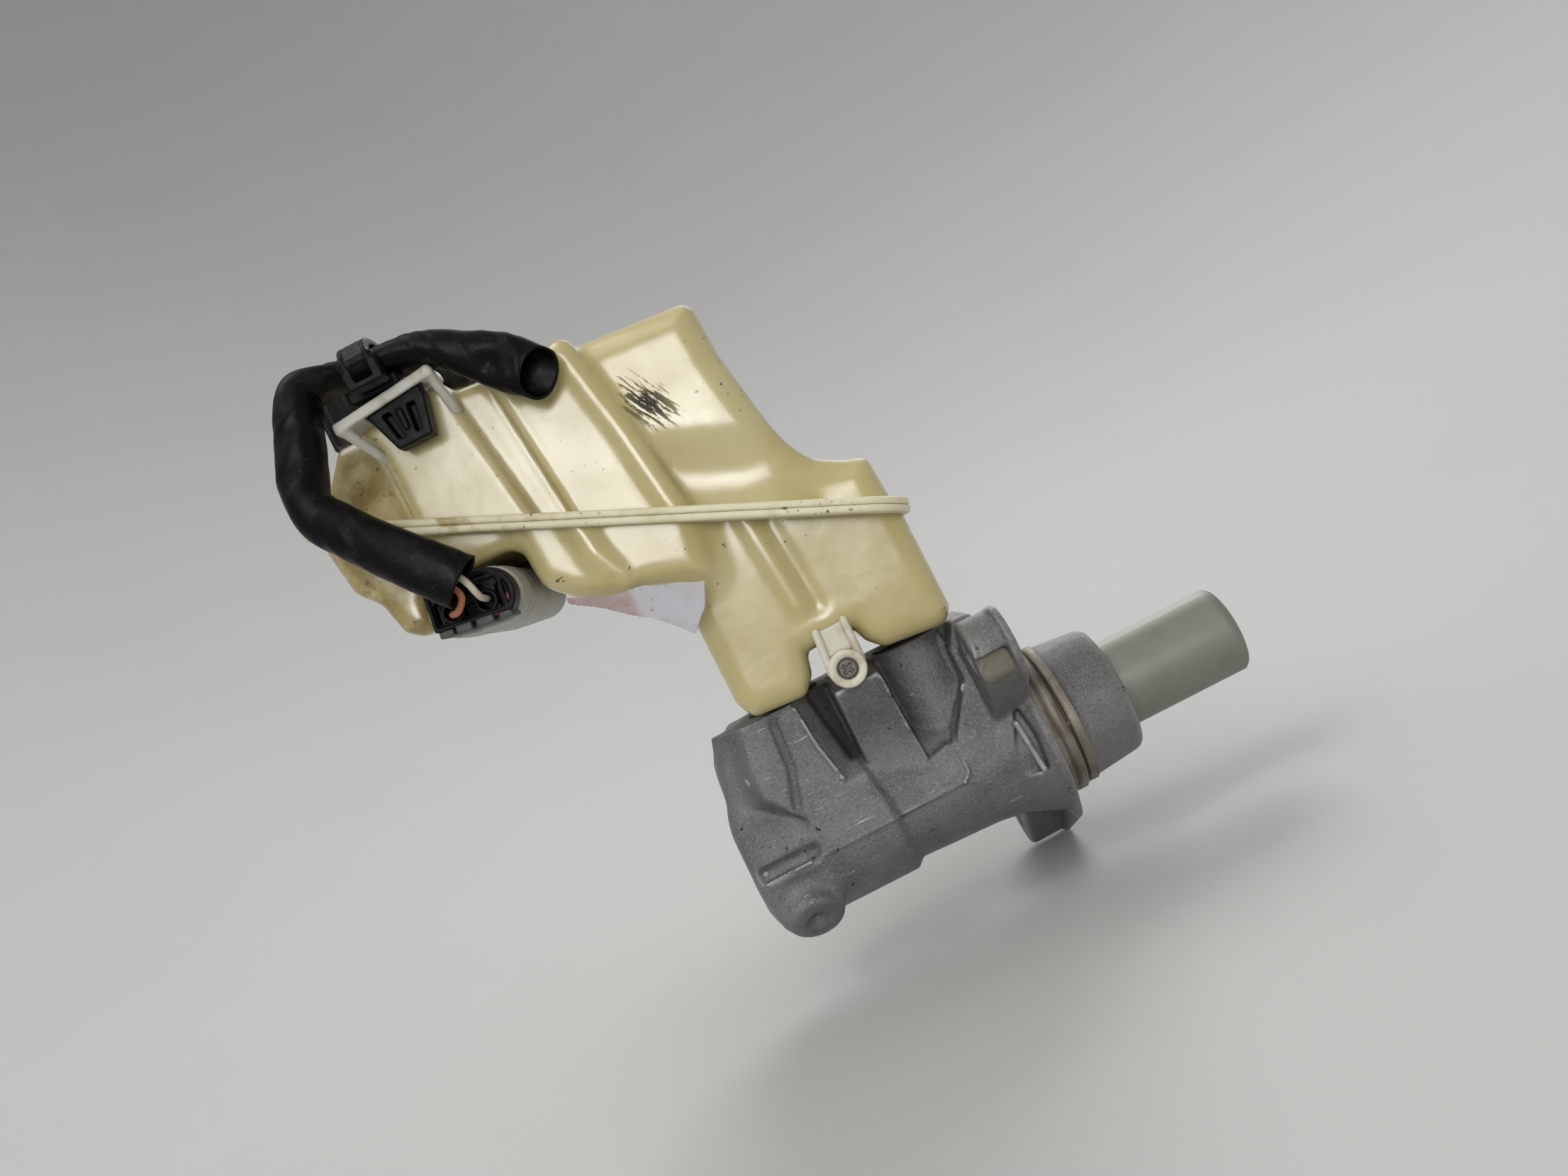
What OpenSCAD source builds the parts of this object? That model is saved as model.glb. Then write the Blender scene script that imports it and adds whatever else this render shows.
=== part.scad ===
// Tandem brake master cylinder with its welded plastic reservoir.
// +X runs along the bore towards the booster, +Z up through the reservoir, +Y to the far side.
// The origin is on the bore axis, in the flange face that meets the booster.

/* [Cylinder] */
// Diameter of both plungers
plunger_d = 23.8; // [22:0.1:24]
// Gap between a plunger and the bore wall, on the radius
running_gap = 0.05; // [0.03:0.01:0.09]
// How far the push rod plunger stands out of the flange face at rest
plunger_reach = 57; // [50:1:60]
// Length of the spigot that enters the booster
spigot_length = 22.7; // [18:0.1:26]
// Radius of the machined pilot land
pilot_r = 20.3; // [19.5:0.1:21]
// Distance from the flange face to the closed end of the casting
body_length = 84; // [82:1:88]
// Height of the saddle that the reservoir stands on
saddle_z = 36.5; // [35:0.5:37]

/* [Flange] */
// Thickness of the flange plate
flange_t = 3; // [2.5:0.5:4]
// Radius from the bore axis to each mounting hole
bolt_circle_r = 41; // [40:0.5:43]
// Angle of the upper ear above the horizontal, towards the near side
ear_angle = 42; // [38:1:46]
// Radius of each mounting hole
bolt_hole_r = 4.25; // [4:0.05:4.5]

/* [Reservoir] */
// Wall thickness of both halves
wall = 2.2; // [1.8:0.1:2.6]
// Slope of the weld seam, down towards the booster
seam_tilt = 24.2; // [22:0.1:26]
// Thickness of each of the two weld rims
rim_t = 1.8; // [1.5:0.1:2]
// Radius of the filler cap
cap_r = 22.5; // [21:0.5:23]

/* [Sleeve] */
// Outside diameter of the harness sleeve
sleeve_d = 11.5; // [10.5:0.5:12]

/* [Hidden] */
$fn = 64;

// Bore, plungers and springs
plunger_r = plunger_d / 2;
bore_r = plunger_r + running_gap;
bore_end = -76;
primary_front = -17;
secondary_rear = -34;
secondary_front = -58;
spring_pocket_r = 8.5;
primary_pocket_x = 13;
secondary_pocket_x = -42;
push_rod_r = 8.5;
push_rod_depth = plunger_reach - 18;
spring_wire_r = 1.1;
spring_coil_r = 6.6;
spring_turns = 7;
ring_steps = 14;
seat_gap = 0.1;
stem_r = 2;
cup_r = 4.4;
cup_bore_r = 3.6;

// Seal grooves: the left edge of each, from front to rear
seal_w = 4;
seal_groove_r = 14.4;
seal_x = [-66, -52, -28, -12];
guide_x = 8;
guide_w = 9;
clip_x = 19;
clip_w = 1.4;
clip_groove_r = 14.2;

// Reservoir sockets, outlet ports and the blind port boss
socket_x = [-57, -20];
socket_r = 10;
socket_floor = 25;
nipple_r = 6.4;
nipple_bore_r = 4.2;
leg_floor = 37;
port_r = 5.5;
port_depth = 14;
front_port_x = -74;
front_port_angle = 50;
front_port_reach = 38;
rear_port_x = -31;
rear_port_reach = 30;
blind_boss_x = -73.5;
blind_boss_angle = 42;
blind_boss_reach = 24;

// Fixing lug on the near side
lug_x = -38.1;
lug_z = 38.8;
lug_y = [-31.5, -28.5];
lug_r = 4.7;
screw_r = 1.6;
head_r = 2.5;
head_recess = 1.3;

// Weld seam and filler neck
seam_x = -6.5;
seam_z = 67.2;
seam_length = 147;
seam_half_y = 41;
rim_corner_r = 12;
neck_x = -110;
neck_r = 17.5;
neck_bore_r = 15;
neck_top = 158;

// Level sensor pocket
sensor_x = -108.5;
sensor_z = 93;
sensor_tilt = 8;
float_z = 105;
float_h = 7;

// Harness shelf and clip
shelf_z = [142, 145];
shelf_x = [-118, -92];
shelf_y = [-48, -38];
strap_x = -105;
strap_y = -44;
strap_z = 152.1;
strap_w = 7;
strap_half = [9.9, 5.1];
wire_r = 0.8;
sleeve_r = sleeve_d / 2;

// Centre line of the sleeve, from the connector to the open end
sleeve_route = [
  [-105.5, -57, 96.5], [-111, -57, 103], [-117, -56, 110], [-123, -55, 117.5], [-127, -54.5, 123],
  [-128.5, -54, 128], [-127.5, -53, 134], [-125, -52, 141], [-123, -51, 147], [-120.5, -48.5, 151.5],
  [-116, -46, 153], [-111, -44.5, 152.8], [-106, -44, 152.3], [-100.5, -44, 151.6],
  [-95, -44, 150.8], [-91, -44, 149.6], [-87, -44.5, 147.2], [-83, -45, 144], [-79, -45.5, 140.8],
  [-75.5, -46, 137.6], [-70.5, -46, 132.6]
];
// How far the soft sleeve is squeezed in the side view at each of those points: its half width
// there as a share of its radius
sleeve_squeeze = [
  1.1, 1.07, 1, 1, 1, 0.9, 0.95, 0.92, 0.9, 0.84, 0.58, 0.52, 0.49, 0.52, 0.58, 0.64, 0.76, 0.96,
  1.1, 1.13, 1.05
];
sleeve_steps = 3;

// Side outlines as [x, z] points, counter-clockwise; the seam cuts off what runs past it
tall_outline = [[-72, 82], [-28, 62], [-28, 98], [-31.3, 121], [-31.9, 136.3], [-72, 139.8]];
step_outline = [[-102, 96], [-60, 77], [-60, 138.7], [-102, 141.2]];
right_outline = [
  [-42, 70], [-8.6, 58], [-10.4, 82.6], [-16.5, 84.8], [-22, 88], [-26.5, 93.5], [-32, 98],
  [-42, 100]
];
tower_outline = [[-113.7, 104], [-86, 92], [-90.5, 144], [-117, 144], [-113.5, 134]];
corner_outline = [[-138, 118], [-106, 106], [-106, 144], [-126, 144], [-136.4, 131]];
leg_outline = [
  [-66.5, 112], [-66.5, 43], [-64, 38], [-50, 37], [-46.5, 41], [-45, 46.5], [-32.4, 46.5],
  [-31, 42.5], [-27.5, 39], [-11.5, 37.2], [-8.5, 40.5], [-8.6, 86]
];
belly_outline = [
  [-97, 118], [-95, 90], [-88.5, 83.6], [-82, 80], [-73.5, 78.6], [-56, 78], [-56, 105]
];
far_left_outline = [
  [-140, 140], [-137.3, 118], [-136, 109], [-131.5, 103.5], [-129.5, 95], [-125.5, 92], [-95, 92],
  [-90, 116]
];
label_outline = [
  [-90, 85], [-90.5, 83], [-83, 77.5], [-74, 70.5], [-66.5, 62], [-61.5, 67], [-57.6, 73.8],
  [-62, 75], [-72, 79.4], [-80, 81]
];

function unit(v) = v / norm(v);

// The outline moved inwards by d along both edges at each corner
function inset(points, d) = [
  for (i = [0 : len(points) - 1])
    let (
      before = points[(i + len(points) - 1) % len(points)],
      after = points[(i + 1) % len(points)],
      u = unit(points[i] - before),
      v = unit(after - points[i]),
      m = [-u[1], u[0]],
      n = [-v[1], v[0]]
    )
    points[i] + d * (m + n) / (1 + m * n)
];

// One ring of a swept tube: sides points round centre c, across direction t. The ring's first
// half size is square to the axis given, and its second is as near to that axis as it can be.
function ring(c, t, half, axis, sides) =
  let (side = unit(cross(t, axis)), up = cross(side, t))
  [
    for (k = [0 : sides - 1])
      c + half[0] * cos(360 * k / sides) * side + half[1] * sin(360 * k / sides) * up
  ];

// Smooth curve through the route's points
function on_curve(p, s) =
  let (
    last = len(p) - 1,
    i = min(floor(s), last - 1),
    f = s - i,
    a = p[max(i - 1, 0)],
    b = p[i],
    c = p[i + 1],
    d = p[min(i + 2, last)]
  )
  0.5 * (2 * b + (c - a) * f + (2 * a - 5 * b + 4 * c - d) * f * f
    + (3 * b - a - 3 * c + d) * f * f * f);

function curve(p, steps) = [for (s = [0 : (len(p) - 1) * steps]) on_curve(p, s / steps)];

function tangents(p) = [
  for (i = [0 : len(p) - 1]) unit(p[min(i + 1, len(p) - 1)] - p[max(i - 1, 0)])
];

// Closed tube swept along the points of a path, with a pair of half sizes at each point
module sweep(path, halves, axis, sides) {
  along = tangents(path);
  rings = [for (i = [0 : len(path) - 1]) ring(path[i], along[i], halves[i], axis, sides)];
  last = (len(path) - 1) * sides;
  sides_faces = [
    for (i = [0 : len(path) - 2], k = [0 : sides - 1])
      let (n = (k + 1) % sides, a = i * sides, b = a + sides)
      each [[a + k, a + n, b + k], [a + n, b + n, b + k]]
  ];
  start_face = [[for (k = [sides - 1 : -1 : 0]) k]];
  end_face = [[for (k = [0 : sides - 1]) last + k]];
  polyhedron([for (r = rings) each r], concat(sides_faces, start_face, end_face), convexity = 6);
}

// Round wire along a path
module strand(path, r) {
  sweep(path, [for (p = path) [r, r]], [1, 0, 0], 8);
}

// Cylinder along +X from x0 to x1
module rod(x0, x1, r, y = 0, z = 0) {
  translate([x0, y, z]) rotate([0, 90, 0]) cylinder(r = r, h = x1 - x0);
}

// Cylinder along +Y from y0 to y1
module cross_rod(y0, y1, r, x, z) {
  translate([x, y0, z]) rotate([-90, 0, 0]) cylinder(r = r, h = y1 - y0);
}

// Round tube along +X
module tube(x0, x1, r, inner_r) {
  difference() {
    rod(x0, x1, r);
    rod(x0 - 1, x1 + 1, inner_r);
  }
}

// Side outline given a width from y0 to y1
module slab(points, y0, y1) {
  translate([0, y1, 0]) rotate([90, 0, 0]) linear_extrude(y1 - y0) polygon(points);
}

module block(x, y, z) {
  translate([x[0], y[0], z[0]]) cube([x[1] - x[0], y[1] - y[0], z[1] - z[0]]);
}

// Two circles joined by their outer tangents
module link(a, ra, b, rb) {
  line = b - a;
  lead = atan2(line[1], line[0]);
  spread = acos((ra - rb) / norm(line));
  translate(a) circle(ra);
  translate(b) circle(rb);
  polygon([
    a + ra * [cos(lead - spread), sin(lead - spread)],
    b + rb * [cos(lead - spread), sin(lead - spread)],
    b + rb * [cos(lead + spread), sin(lead + spread)],
    a + ra * [cos(lead + spread), sin(lead + spread)]
  ]);
}

// Outline in the flange plane, as [y, z], extruded from x0 to x1
module flange_layer(x0, x1) {
  translate([x0, 0, 0]) rotate([90, 0, 90]) linear_extrude(x1 - x0) children();
}

ear_tip = bolt_circle_r * [-cos(ear_angle), sin(ear_angle)];

// ---- Cylinder ----

module barrel() {
  profile = [
    [0, -body_length], [15, -body_length], [18, -81], [19.4, -76], [19.4, -45], [16.9, -41],
    [18, -32], [18.4, -18], [20, -12], [23, -flange_t], [23, -1], [0, -1]
  ];
  rotate([0, 90, 0]) rotate_extrude($fn = 96) polygon(profile);
}

module spigot() {
  profile = [
    [0, -2], [pilot_r, -2], [pilot_r, 4.8], [18.9, 4.8], [18.9, 5.6], [19.5, 5.6], [19.5, 8.3],
    [18.9, 8.3], [17.4, spigot_length - 1.5], [16, spigot_length], [0, spigot_length]
  ];
  rotate([0, 90, 0]) rotate_extrude($fn = 96) polygon(profile);
}

module flange() {
  flange_layer(-flange_t, 0) {
    circle(24.3, $fn = 96);
    for (turn = [0, 180]) rotate(turn) link([2, 14], 12.5, ear_tip, 10);
  }
  flange_layer(-10.5, 0) link([-12, 14], 9, ear_tip, 9.6);
  flange_layer(-12.5, -1) rotate(180) link([-12, 14], 9, ear_tip, 9.4);
}

module saddle() {
  block([-69, -49], [-19, 19], [0, saddle_z]);
  block([-23, -9.5], [-19, 19], [0, saddle_z]);
  block([-52, -20], [-15, 15], [0, 26]);
  block([-43.5, -32.5], [-19.5, 8], [0, 33]);
  block([lug_x - 4.4, lug_x + 4.4], [lug_y[1], -12], [26, lug_z]);
  cross_rod(lug_y[1], -12, 4.4, lug_x, lug_z);
  for (x = socket_x) translate([x, 0, 0]) cylinder(r = 13, h = saddle_z);
}

module end_block() {
  profile = [
    [-69, 38], [-74, 37.5], [-80, 29.5], [-82.8, 16], [-83.8, 3], [-83.8, -9], [-81, -12],
    [-66, -12], [-66, 20]
  ];
  slab([for (i = [len(profile) - 1 : -1 : 0]) profile[i]], -12, 14);
}

// Boss pointing outwards from the bore axis at an angle in the y, z plane
module boss(x, angle, reach, r) {
  translate([x, 0, 0]) rotate([angle - 90, 0, 0]) cylinder(r = r, h = reach);
}

module port_cut(x, angle, reach, r, depth) {
  translate([x, 0, 0]) rotate([angle - 90, 0, 0]) translate([0, 0, reach - depth])
    cylinder(r = r, h = depth + 1);
}

module passage(x, angle, reach) {
  translate([x, 0, 0]) rotate([angle - 90, 0, 0]) translate([0, 0, bore_r - 3])
    cylinder(r = 2, h = reach - bore_r, $fn = 24);
}

module cylinder_body() color([0.45, 0.45, 0.44]) {
  difference() {
    union() {
      barrel();
      spigot();
      flange();
      saddle();
      end_block();
      boss(front_port_x, front_port_angle, front_port_reach, 9);
      boss(rear_port_x, 0, rear_port_reach, 9);
      boss(blind_boss_x, 180 + blind_boss_angle, blind_boss_reach, 8);
      slab([[-82, -16], [-64, -16], [-64, 0], [-82, 0]], -18, -4);
    }
    rod(bore_end, spigot_length + 1, bore_r);
    for (x = seal_x) rod(x, x + seal_w, seal_groove_r);
    rod(guide_x, guide_x + guide_w, 14);
    rod(clip_x, clip_x + clip_w, clip_groove_r);
    for (x = socket_x) {
      translate([x, 0, socket_floor]) cylinder(r = socket_r, h = 20);
      translate([x, 0, bore_r - 3]) cylinder(r = 2, h = 20, $fn = 24);
    }
    port_cut(front_port_x, front_port_angle, front_port_reach, port_r, port_depth);
    port_cut(rear_port_x, 0, rear_port_reach, port_r, port_depth);
    passage(front_port_x, front_port_angle, front_port_reach);
    passage(rear_port_x, 0, rear_port_reach);
    cross_rod(lug_y[1] - 1, -14, screw_r, lug_x, lug_z);
    for (turn = [0, 180]) rotate([turn, 0, 0])
      translate([-14, ear_tip[0], ear_tip[1]]) rotate([0, 90, 0]) cylinder(r = bolt_hole_r, h = 16);
    translate([blind_boss_x, 0, 0]) rotate([90 + blind_boss_angle, 0, 0])
      translate([0, 0, blind_boss_reach - 2.5]) cylinder(r1 = 0.5, r2 = 4, h = 2.6);
  }
}

module primary_piston() color([0.52, 0.51, 0.46]) {
  difference() {
    rod(primary_front, plunger_reach, plunger_r);
    rod(plunger_reach - push_rod_depth, plunger_reach + 1, push_rod_r);
    rod(primary_front - 1, primary_pocket_x, spring_pocket_r);
    for (a = [0 : 90 : 270]) rotate([a, 0, 0])
      translate([primary_front + 3, 0, 0]) cylinder(r = 0.8, h = 20, $fn = 24);
  }
}

module secondary_piston() color([0.55, 0.55, 0.52]) {
  difference() {
    rod(secondary_front, secondary_rear, plunger_r);
    rod(secondary_front - 1, secondary_pocket_x, spring_pocket_r);
    rod(secondary_rear - 6, secondary_rear + 1, stem_r);
    for (a = [0 : 90 : 270]) rotate([a, 0, 0])
      translate([secondary_front + 3, 0, 0]) cylinder(r = 0.8, h = 20, $fn = 24);
  }
}

// Coil spring along X from x0 to x1
module coil(x0, x1) {
  steps = spring_turns * ring_steps;
  first = x0 + spring_wire_r;
  pitch = (x1 - x0 - 2 * spring_wire_r) / steps;
  path = [
    for (i = [0 : steps])
      let (a = 360 * i / ring_steps)
      [first + pitch * i, spring_coil_r * cos(a), spring_coil_r * sin(a)]
  ];
  strand(path, spring_wire_r);
}

module primary_spring() color([0.35, 0.36, 0.38]) {
  coil(secondary_rear + seat_gap, primary_pocket_x - 1 - seat_gap);
}

module secondary_spring() color([0.35, 0.36, 0.38]) {
  coil(bore_end + seat_gap, secondary_pocket_x - seat_gap);
}

module spring_cup() color([0.6, 0.6, 0.6]) {
  difference() {
    union() {
      rod(primary_pocket_x - 1, primary_pocket_x, 8.2);
      rod(-9.5, primary_pocket_x, cup_r);
    }
    rod(-8.5, primary_pocket_x + 1, cup_bore_r);
    rod(-10, 0, stem_r + 0.1);
  }
}

module spring_stem() color([0.5, 0.5, 0.52]) {
  rod(secondary_rear - 6, -7, stem_r);
  rod(-8, -6, 3.2);
}

module seal(x) color([0.12, 0.12, 0.13]) {
  tube(x, x + seal_w, seal_groove_r, plunger_r + 0.03);
}

module front_pressure_seal() seal(seal_x[0]);

module front_feed_seal() seal(seal_x[1]);

module rear_pressure_seal() seal(seal_x[2]);

module rear_feed_seal() seal(seal_x[3]);

module guide_ring() color([0.75, 0.72, 0.62]) {
  tube(guide_x, guide_x + guide_w, 14, plunger_r + 0.04);
}

module retaining_ring() color([0.5, 0.5, 0.52]) {
  difference() {
    tube(clip_x, clip_x + clip_w, clip_groove_r, 12.4);
    block([clip_x - 1, clip_x + 3], [-3, 3], [-20, 0]);
  }
}

module grommet(x) color([0.1, 0.1, 0.1]) {
  difference() {
    translate([x, 0, socket_floor]) cylinder(r = socket_r, h = leg_floor - socket_floor);
    translate([x, 0, socket_floor - 1]) cylinder(r = nipple_r, h = 20);
  }
}

module front_grommet() grommet(socket_x[0]);

module rear_grommet() grommet(socket_x[1]);

// ---- Reservoir ----

module in_seam() {
  translate([seam_x, 0, seam_z]) rotate([0, seam_tilt, 0]) children();
}

// Everything on one side of the seam: up is 1 above it and -1 below it
module half_space(up) {
  in_seam() translate([-200, -100, up > 0 ? 0 : -200]) cube([300, 200, 200]);
}

// Weld rim of one half: a flat plate with round corners
module weld_rim(up) {
  length = seam_length;
  half = seam_half_y;
  corner = rim_corner_r;
  in_seam() translate([-length, 0, up > 0 ? 0 : -rim_t]) linear_extrude(rim_t) {
    translate([corner, -half]) square([length - 2 * corner, 2 * half]);
    translate([0, corner - half]) square([length, 2 * (half - corner)]);
    for (x = [corner, length - corner], y = [corner - half, half - corner])
      translate([x, y]) circle(corner);
  }
}

module upper_tanks(gap) {
  slab(inset(tall_outline, gap), gap - 34, 36 - gap);
  slab(inset(step_outline, gap), gap - 37, 36 - gap);
  slab(inset(right_outline, gap), gap - 33, 33 - gap);
  slab(inset(tower_outline, gap), gap - 38, 34 - gap);
  slab(inset(corner_outline, gap), gap - 26, 34 - gap);
}

module lower_tanks(gap) {
  slab(inset(leg_outline, gap), gap - 30, 30 - gap);
  slab(inset(belly_outline, gap), gap - 36, 36 - gap);
  difference() {
    slab(inset(far_left_outline, gap), gap - 34, 34 - gap);
    sensor_tunnel(gap);
  }
}

// Space left under the tank for the level sensor
module sensor_tunnel(gap) {
  translate([sensor_x - 13 - gap, -60, 60]) cube([26 + 2 * gap, 74 + gap, 41.5 + gap]);
}

module shelf() {
  difference() {
    block(shelf_x, shelf_y, shelf_z);
    block([-111.2, -95.8], [-46, -40], [140, 146]);
  }
  for (x = [shelf_x[0] + 1.5, shelf_x[1] - 3])
    translate([x, 0, 0]) rotate([90, 0, 90]) linear_extrude(3)
      polygon([[shelf_y[1] + 1, 132], [shelf_y[1] + 1, 143], [shelf_y[0], 143]]);
}

module reservoir_upper() color([0.87, 0.82, 0.64]) {
  difference() {
    union() {
      intersection() {
        upper_tanks(0);
        half_space(1);
      }
      weld_rim(1);
      translate([neck_x, 0, 140]) cylinder(r = neck_r, h = neck_top - 140);
      for (z = [150, 154]) translate([neck_x, 0, z]) cylinder(r = neck_r + 1, h = 1.6);
      shelf();
    }
    intersection() {
      upper_tanks(wall);
      half_space(1);
    }
    translate([neck_x, 0, 130]) cylinder(r = neck_bore_r, h = 40);
  }
}

// Fixing lug: an eye, a thin web above it and a rail up each side
module lug() {
  difference() {
    union() {
      cross_rod(lug_y[0], lug_y[1], lug_r, lug_x, lug_z);
      block([lug_x - lug_r, lug_x + lug_r], [lug_y[0] + 1.5, lug_y[1]], [lug_z, 50]);
      for (x = [lug_x - lug_r, lug_x + lug_r - 1.8])
        block([x, x + 1.8], lug_y, [lug_z, 50.5]);
    }
    cross_rod(lug_y[0] - 1, lug_y[1] + 1, screw_r, lug_x, lug_z);
    cross_rod(lug_y[0] - 1, lug_y[0] + head_recess, head_r + 0.1, lug_x, lug_z);
  }
}

module reservoir_lower() color([0.86, 0.8, 0.6]) {
  difference() {
    union() {
      intersection() {
        lower_tanks(0);
        half_space(-1);
      }
      weld_rim(-1);
      for (x = socket_x)
        translate([x, 0, socket_floor + 1]) cylinder(r = nipple_r, h = 14);
      lug();
    }
    difference() {
      intersection() {
        lower_tanks(wall);
        half_space(-1);
      }
      translate([neck_x, 0, 90]) cylinder(r = 2.5, h = 24);
    }
    for (x = socket_x) translate([x, 0, 20]) cylinder(r = nipple_bore_r, h = 22);
  }
}

module filler_strainer() color([0.9, 0.9, 0.86]) {
  difference() {
    union() {
      translate([neck_x, 0, 146]) cylinder(r = neck_bore_r - 0.5, h = 12);
      translate([neck_x, 0, neck_top]) cylinder(r = neck_r, h = 1);
    }
    translate([neck_x, 0, 147]) cylinder(r = neck_bore_r - 1.7, h = 20);
    for (a = [0 : 45 : 315]) translate([neck_x, 0, 140]) rotate(a)
      translate([8, 0, 0]) cylinder(r = 1.6, h = 10, $fn = 24);
  }
}

module filler_cap() color([0.08, 0.08, 0.09]) {
  difference() {
    union() {
      translate([neck_x, 0, 147.5]) cylinder(r = cap_r - 1, h = 15.3);
      for (a = [0 : 15 : 345]) translate([neck_x, 0, 147.5]) rotate(a)
        translate([cap_r - 1.6, -1.2, 0]) cube([1.6, 2.4, 14.8]);
    }
    translate([neck_x, 0, 147]) cylinder(r = neck_r + 1.5, h = 13.2);
  }
}

module cap_seal() color([0.2, 0.2, 0.2]) {
  translate([neck_x, 0, neck_top + 1]) difference() {
    cylinder(r = neck_r + 0.6, h = 1.1);
    translate([0, 0, -1]) cylinder(r = 12, h = 4);
  }
}

module retaining_screw() color([0.4, 0.4, 0.4]) {
  difference() {
    union() {
      cross_rod(lug_y[0] + 0.2, lug_y[0] + head_recess, head_r, lug_x, lug_z);
      cross_rod(lug_y[0] + 1, -15, screw_r, lug_x, lug_z);
    }
    cross_rod(lug_y[0] - 1, lug_y[0] + 0.9, 1.1, lug_x, lug_z);
  }
}

// ---- Level sensor and connector ----

// Rounded bar along Y, tilted as the sensor pocket is
module sensor_bar(y0, y1, width, height) {
  end_r = height / 2;
  span = (width - height) / 2;
  translate([sensor_x, y1, sensor_z]) rotate([0, sensor_tilt, 0]) rotate([90, 0, 0])
    linear_extrude(y1 - y0) {
      square([2 * span, height], center = true);
      for (side = [-1, 1]) translate([side * span, 0]) circle(end_r);
    }
}

module level_sensor_housing() color([0.72, 0.72, 0.68]) {
  difference() {
    union() {
      sensor_bar(-42, 14, 23, 14);
      block([-111, -106], [-20, 10], [sensor_z, 101.5]);
    }
    sensor_bar(-43, -20, 20.6, 11.6);
    sensor_bar(-21, 8, 5, 4);
  }
}

module reed_switch() color([0.6, 0.75, 0.7]) {
  cross_rod(-12, 6, 1.5, sensor_x, sensor_z);
}

module level_float() color([0.85, 0.6, 0.3]) {
  difference() {
    translate([neck_x, 0, float_z]) cylinder(r = 9, h = float_h);
    translate([neck_x, 0, float_z - 1]) cylinder(r = 2.6, h = float_h + 2);
  }
}

module connector_plug() color([0.09, 0.09, 0.1]) {
  difference() {
    union() {
      sensor_bar(-49, -40, 19.4, 10);
      sensor_bar(-40.5, -24, 18.6, 9);
    }
    for (side = [-1, 1]) translate([sensor_x + 4 * side, -50, sensor_z - 1])
      rotate([-90, 0, 0]) cylinder(r = 1.6, h = 4);
  }
}

module connector_lock() color([0.15, 0.15, 0.15]) {
  translate([sensor_x, -44, sensor_z]) rotate([0, sensor_tilt, 0])
    translate([-6, -6, 5]) cube([12, 6, 1.2]);
}

module connector_seal() color([0.7, 0.1, 0.1]) {
  difference() {
    sensor_bar(-40, -37, 20.6, 11.6);
    sensor_bar(-41, -36, 18.6, 9);
  }
}

module wire_white() color([0.85, 0.82, 0.75]) {
  strand([
    [-104.5, -46, 92], [-104.5, -48, 92], [-104.5, -52, 92.4], [-104.4, -54.8, 93.6],
    [-104.35, -56, 95.15], [-105.45, -56, 96.45]
  ], wire_r);
}

module wire_brown() color([0.6, 0.35, 0.2]) {
  strand([
    [-112.5, -46, 92], [-112.5, -48, 92], [-111.8, -52, 91.6], [-109.8, -55, 91.2],
    [-107.6, -56, 92], [-106.8, -56, 93.4], [-107.75, -56, 94.5]
  ], wire_r);
}

module protective_sleeve() color([0.05, 0.05, 0.06]) {
  squeeze = curve(sleeve_squeeze, sleeve_steps);
  halves = [for (f = squeeze) sleeve_r * [f, 2 - f - (1 - f) * 0.3]];
  sweep(curve(sleeve_route, sleeve_steps), halves, [0, 1, 0], 12);
}

module harness_clip() color([0.07, 0.07, 0.08]) {
  slab([[-98.5, 131.5], [-96, 141.8], [-111, 141.8], [-107.5, 131.5]], -45.8, -40.2);
  block([-110.5, -96.5], [-45.8, -40.2], [141, 145]);
  block([-112.5, -100.5], [-47, -39.5], [145, 145.4]);
  block([strap_x - 3.5, strap_x + 3.5], [-47.5, -40.5], [145.2, strap_z - strap_half[1]]);
}

// Flat bar with round edges, extruded along X; half is its half size along Y and Z
module oval_bar(x0, x1, half) {
  span = half[0] - half[1];
  translate([x0, strap_y, strap_z]) rotate([90, 0, 90]) linear_extrude(x1 - x0) {
    square([2 * span, 2 * half[1]], center = true);
    for (side = [-1, 1]) translate([side * span, 0]) circle(half[1]);
  }
}

module clip_strap() color([0.07, 0.07, 0.08]) {
  difference() {
    union() {
      oval_bar(strap_x - strap_w / 2, strap_x + strap_w / 2, strap_half);
      block([strap_x - 4, strap_x + 4], [-54.2, -50], [145.8, 152.4]);
    }
    oval_bar(strap_x - 6, strap_x + 6, strap_half - [1.3, 1.3]);
    block([strap_x - 2, strap_x + 2], [-55, -52.6], [147.2, 151]);
  }
}

module paper_label() color([0.85, 0.84, 0.85]) {
  slab(label_outline, -36.4, -36);
}

cylinder_body();
primary_piston();
secondary_piston();
primary_spring();
secondary_spring();
spring_cup();
spring_stem();
rear_feed_seal();
rear_pressure_seal();
front_feed_seal();
front_pressure_seal();
guide_ring();
retaining_ring();
rear_grommet();
front_grommet();
reservoir_lower();
reservoir_upper();
filler_strainer();
filler_cap();
cap_seal();
retaining_screw();
level_sensor_housing();
reed_switch();
level_float();
connector_plug();
connector_lock();
connector_seal();
wire_white();
wire_brown();
protective_sleeve();
harness_clip();
clip_strap();
paper_label();
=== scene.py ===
"""Brake master cylinder: the visual model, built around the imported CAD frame.

Lengths are in millimetres in this script and become metres when a mesh is made.
+X runs along the bore towards the booster, +Z up through the reservoir, +Y to the far side.
"""

import math
from collections import namedtuple

import bpy
import numpy as np
from mathutils import Matrix, Vector


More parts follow.
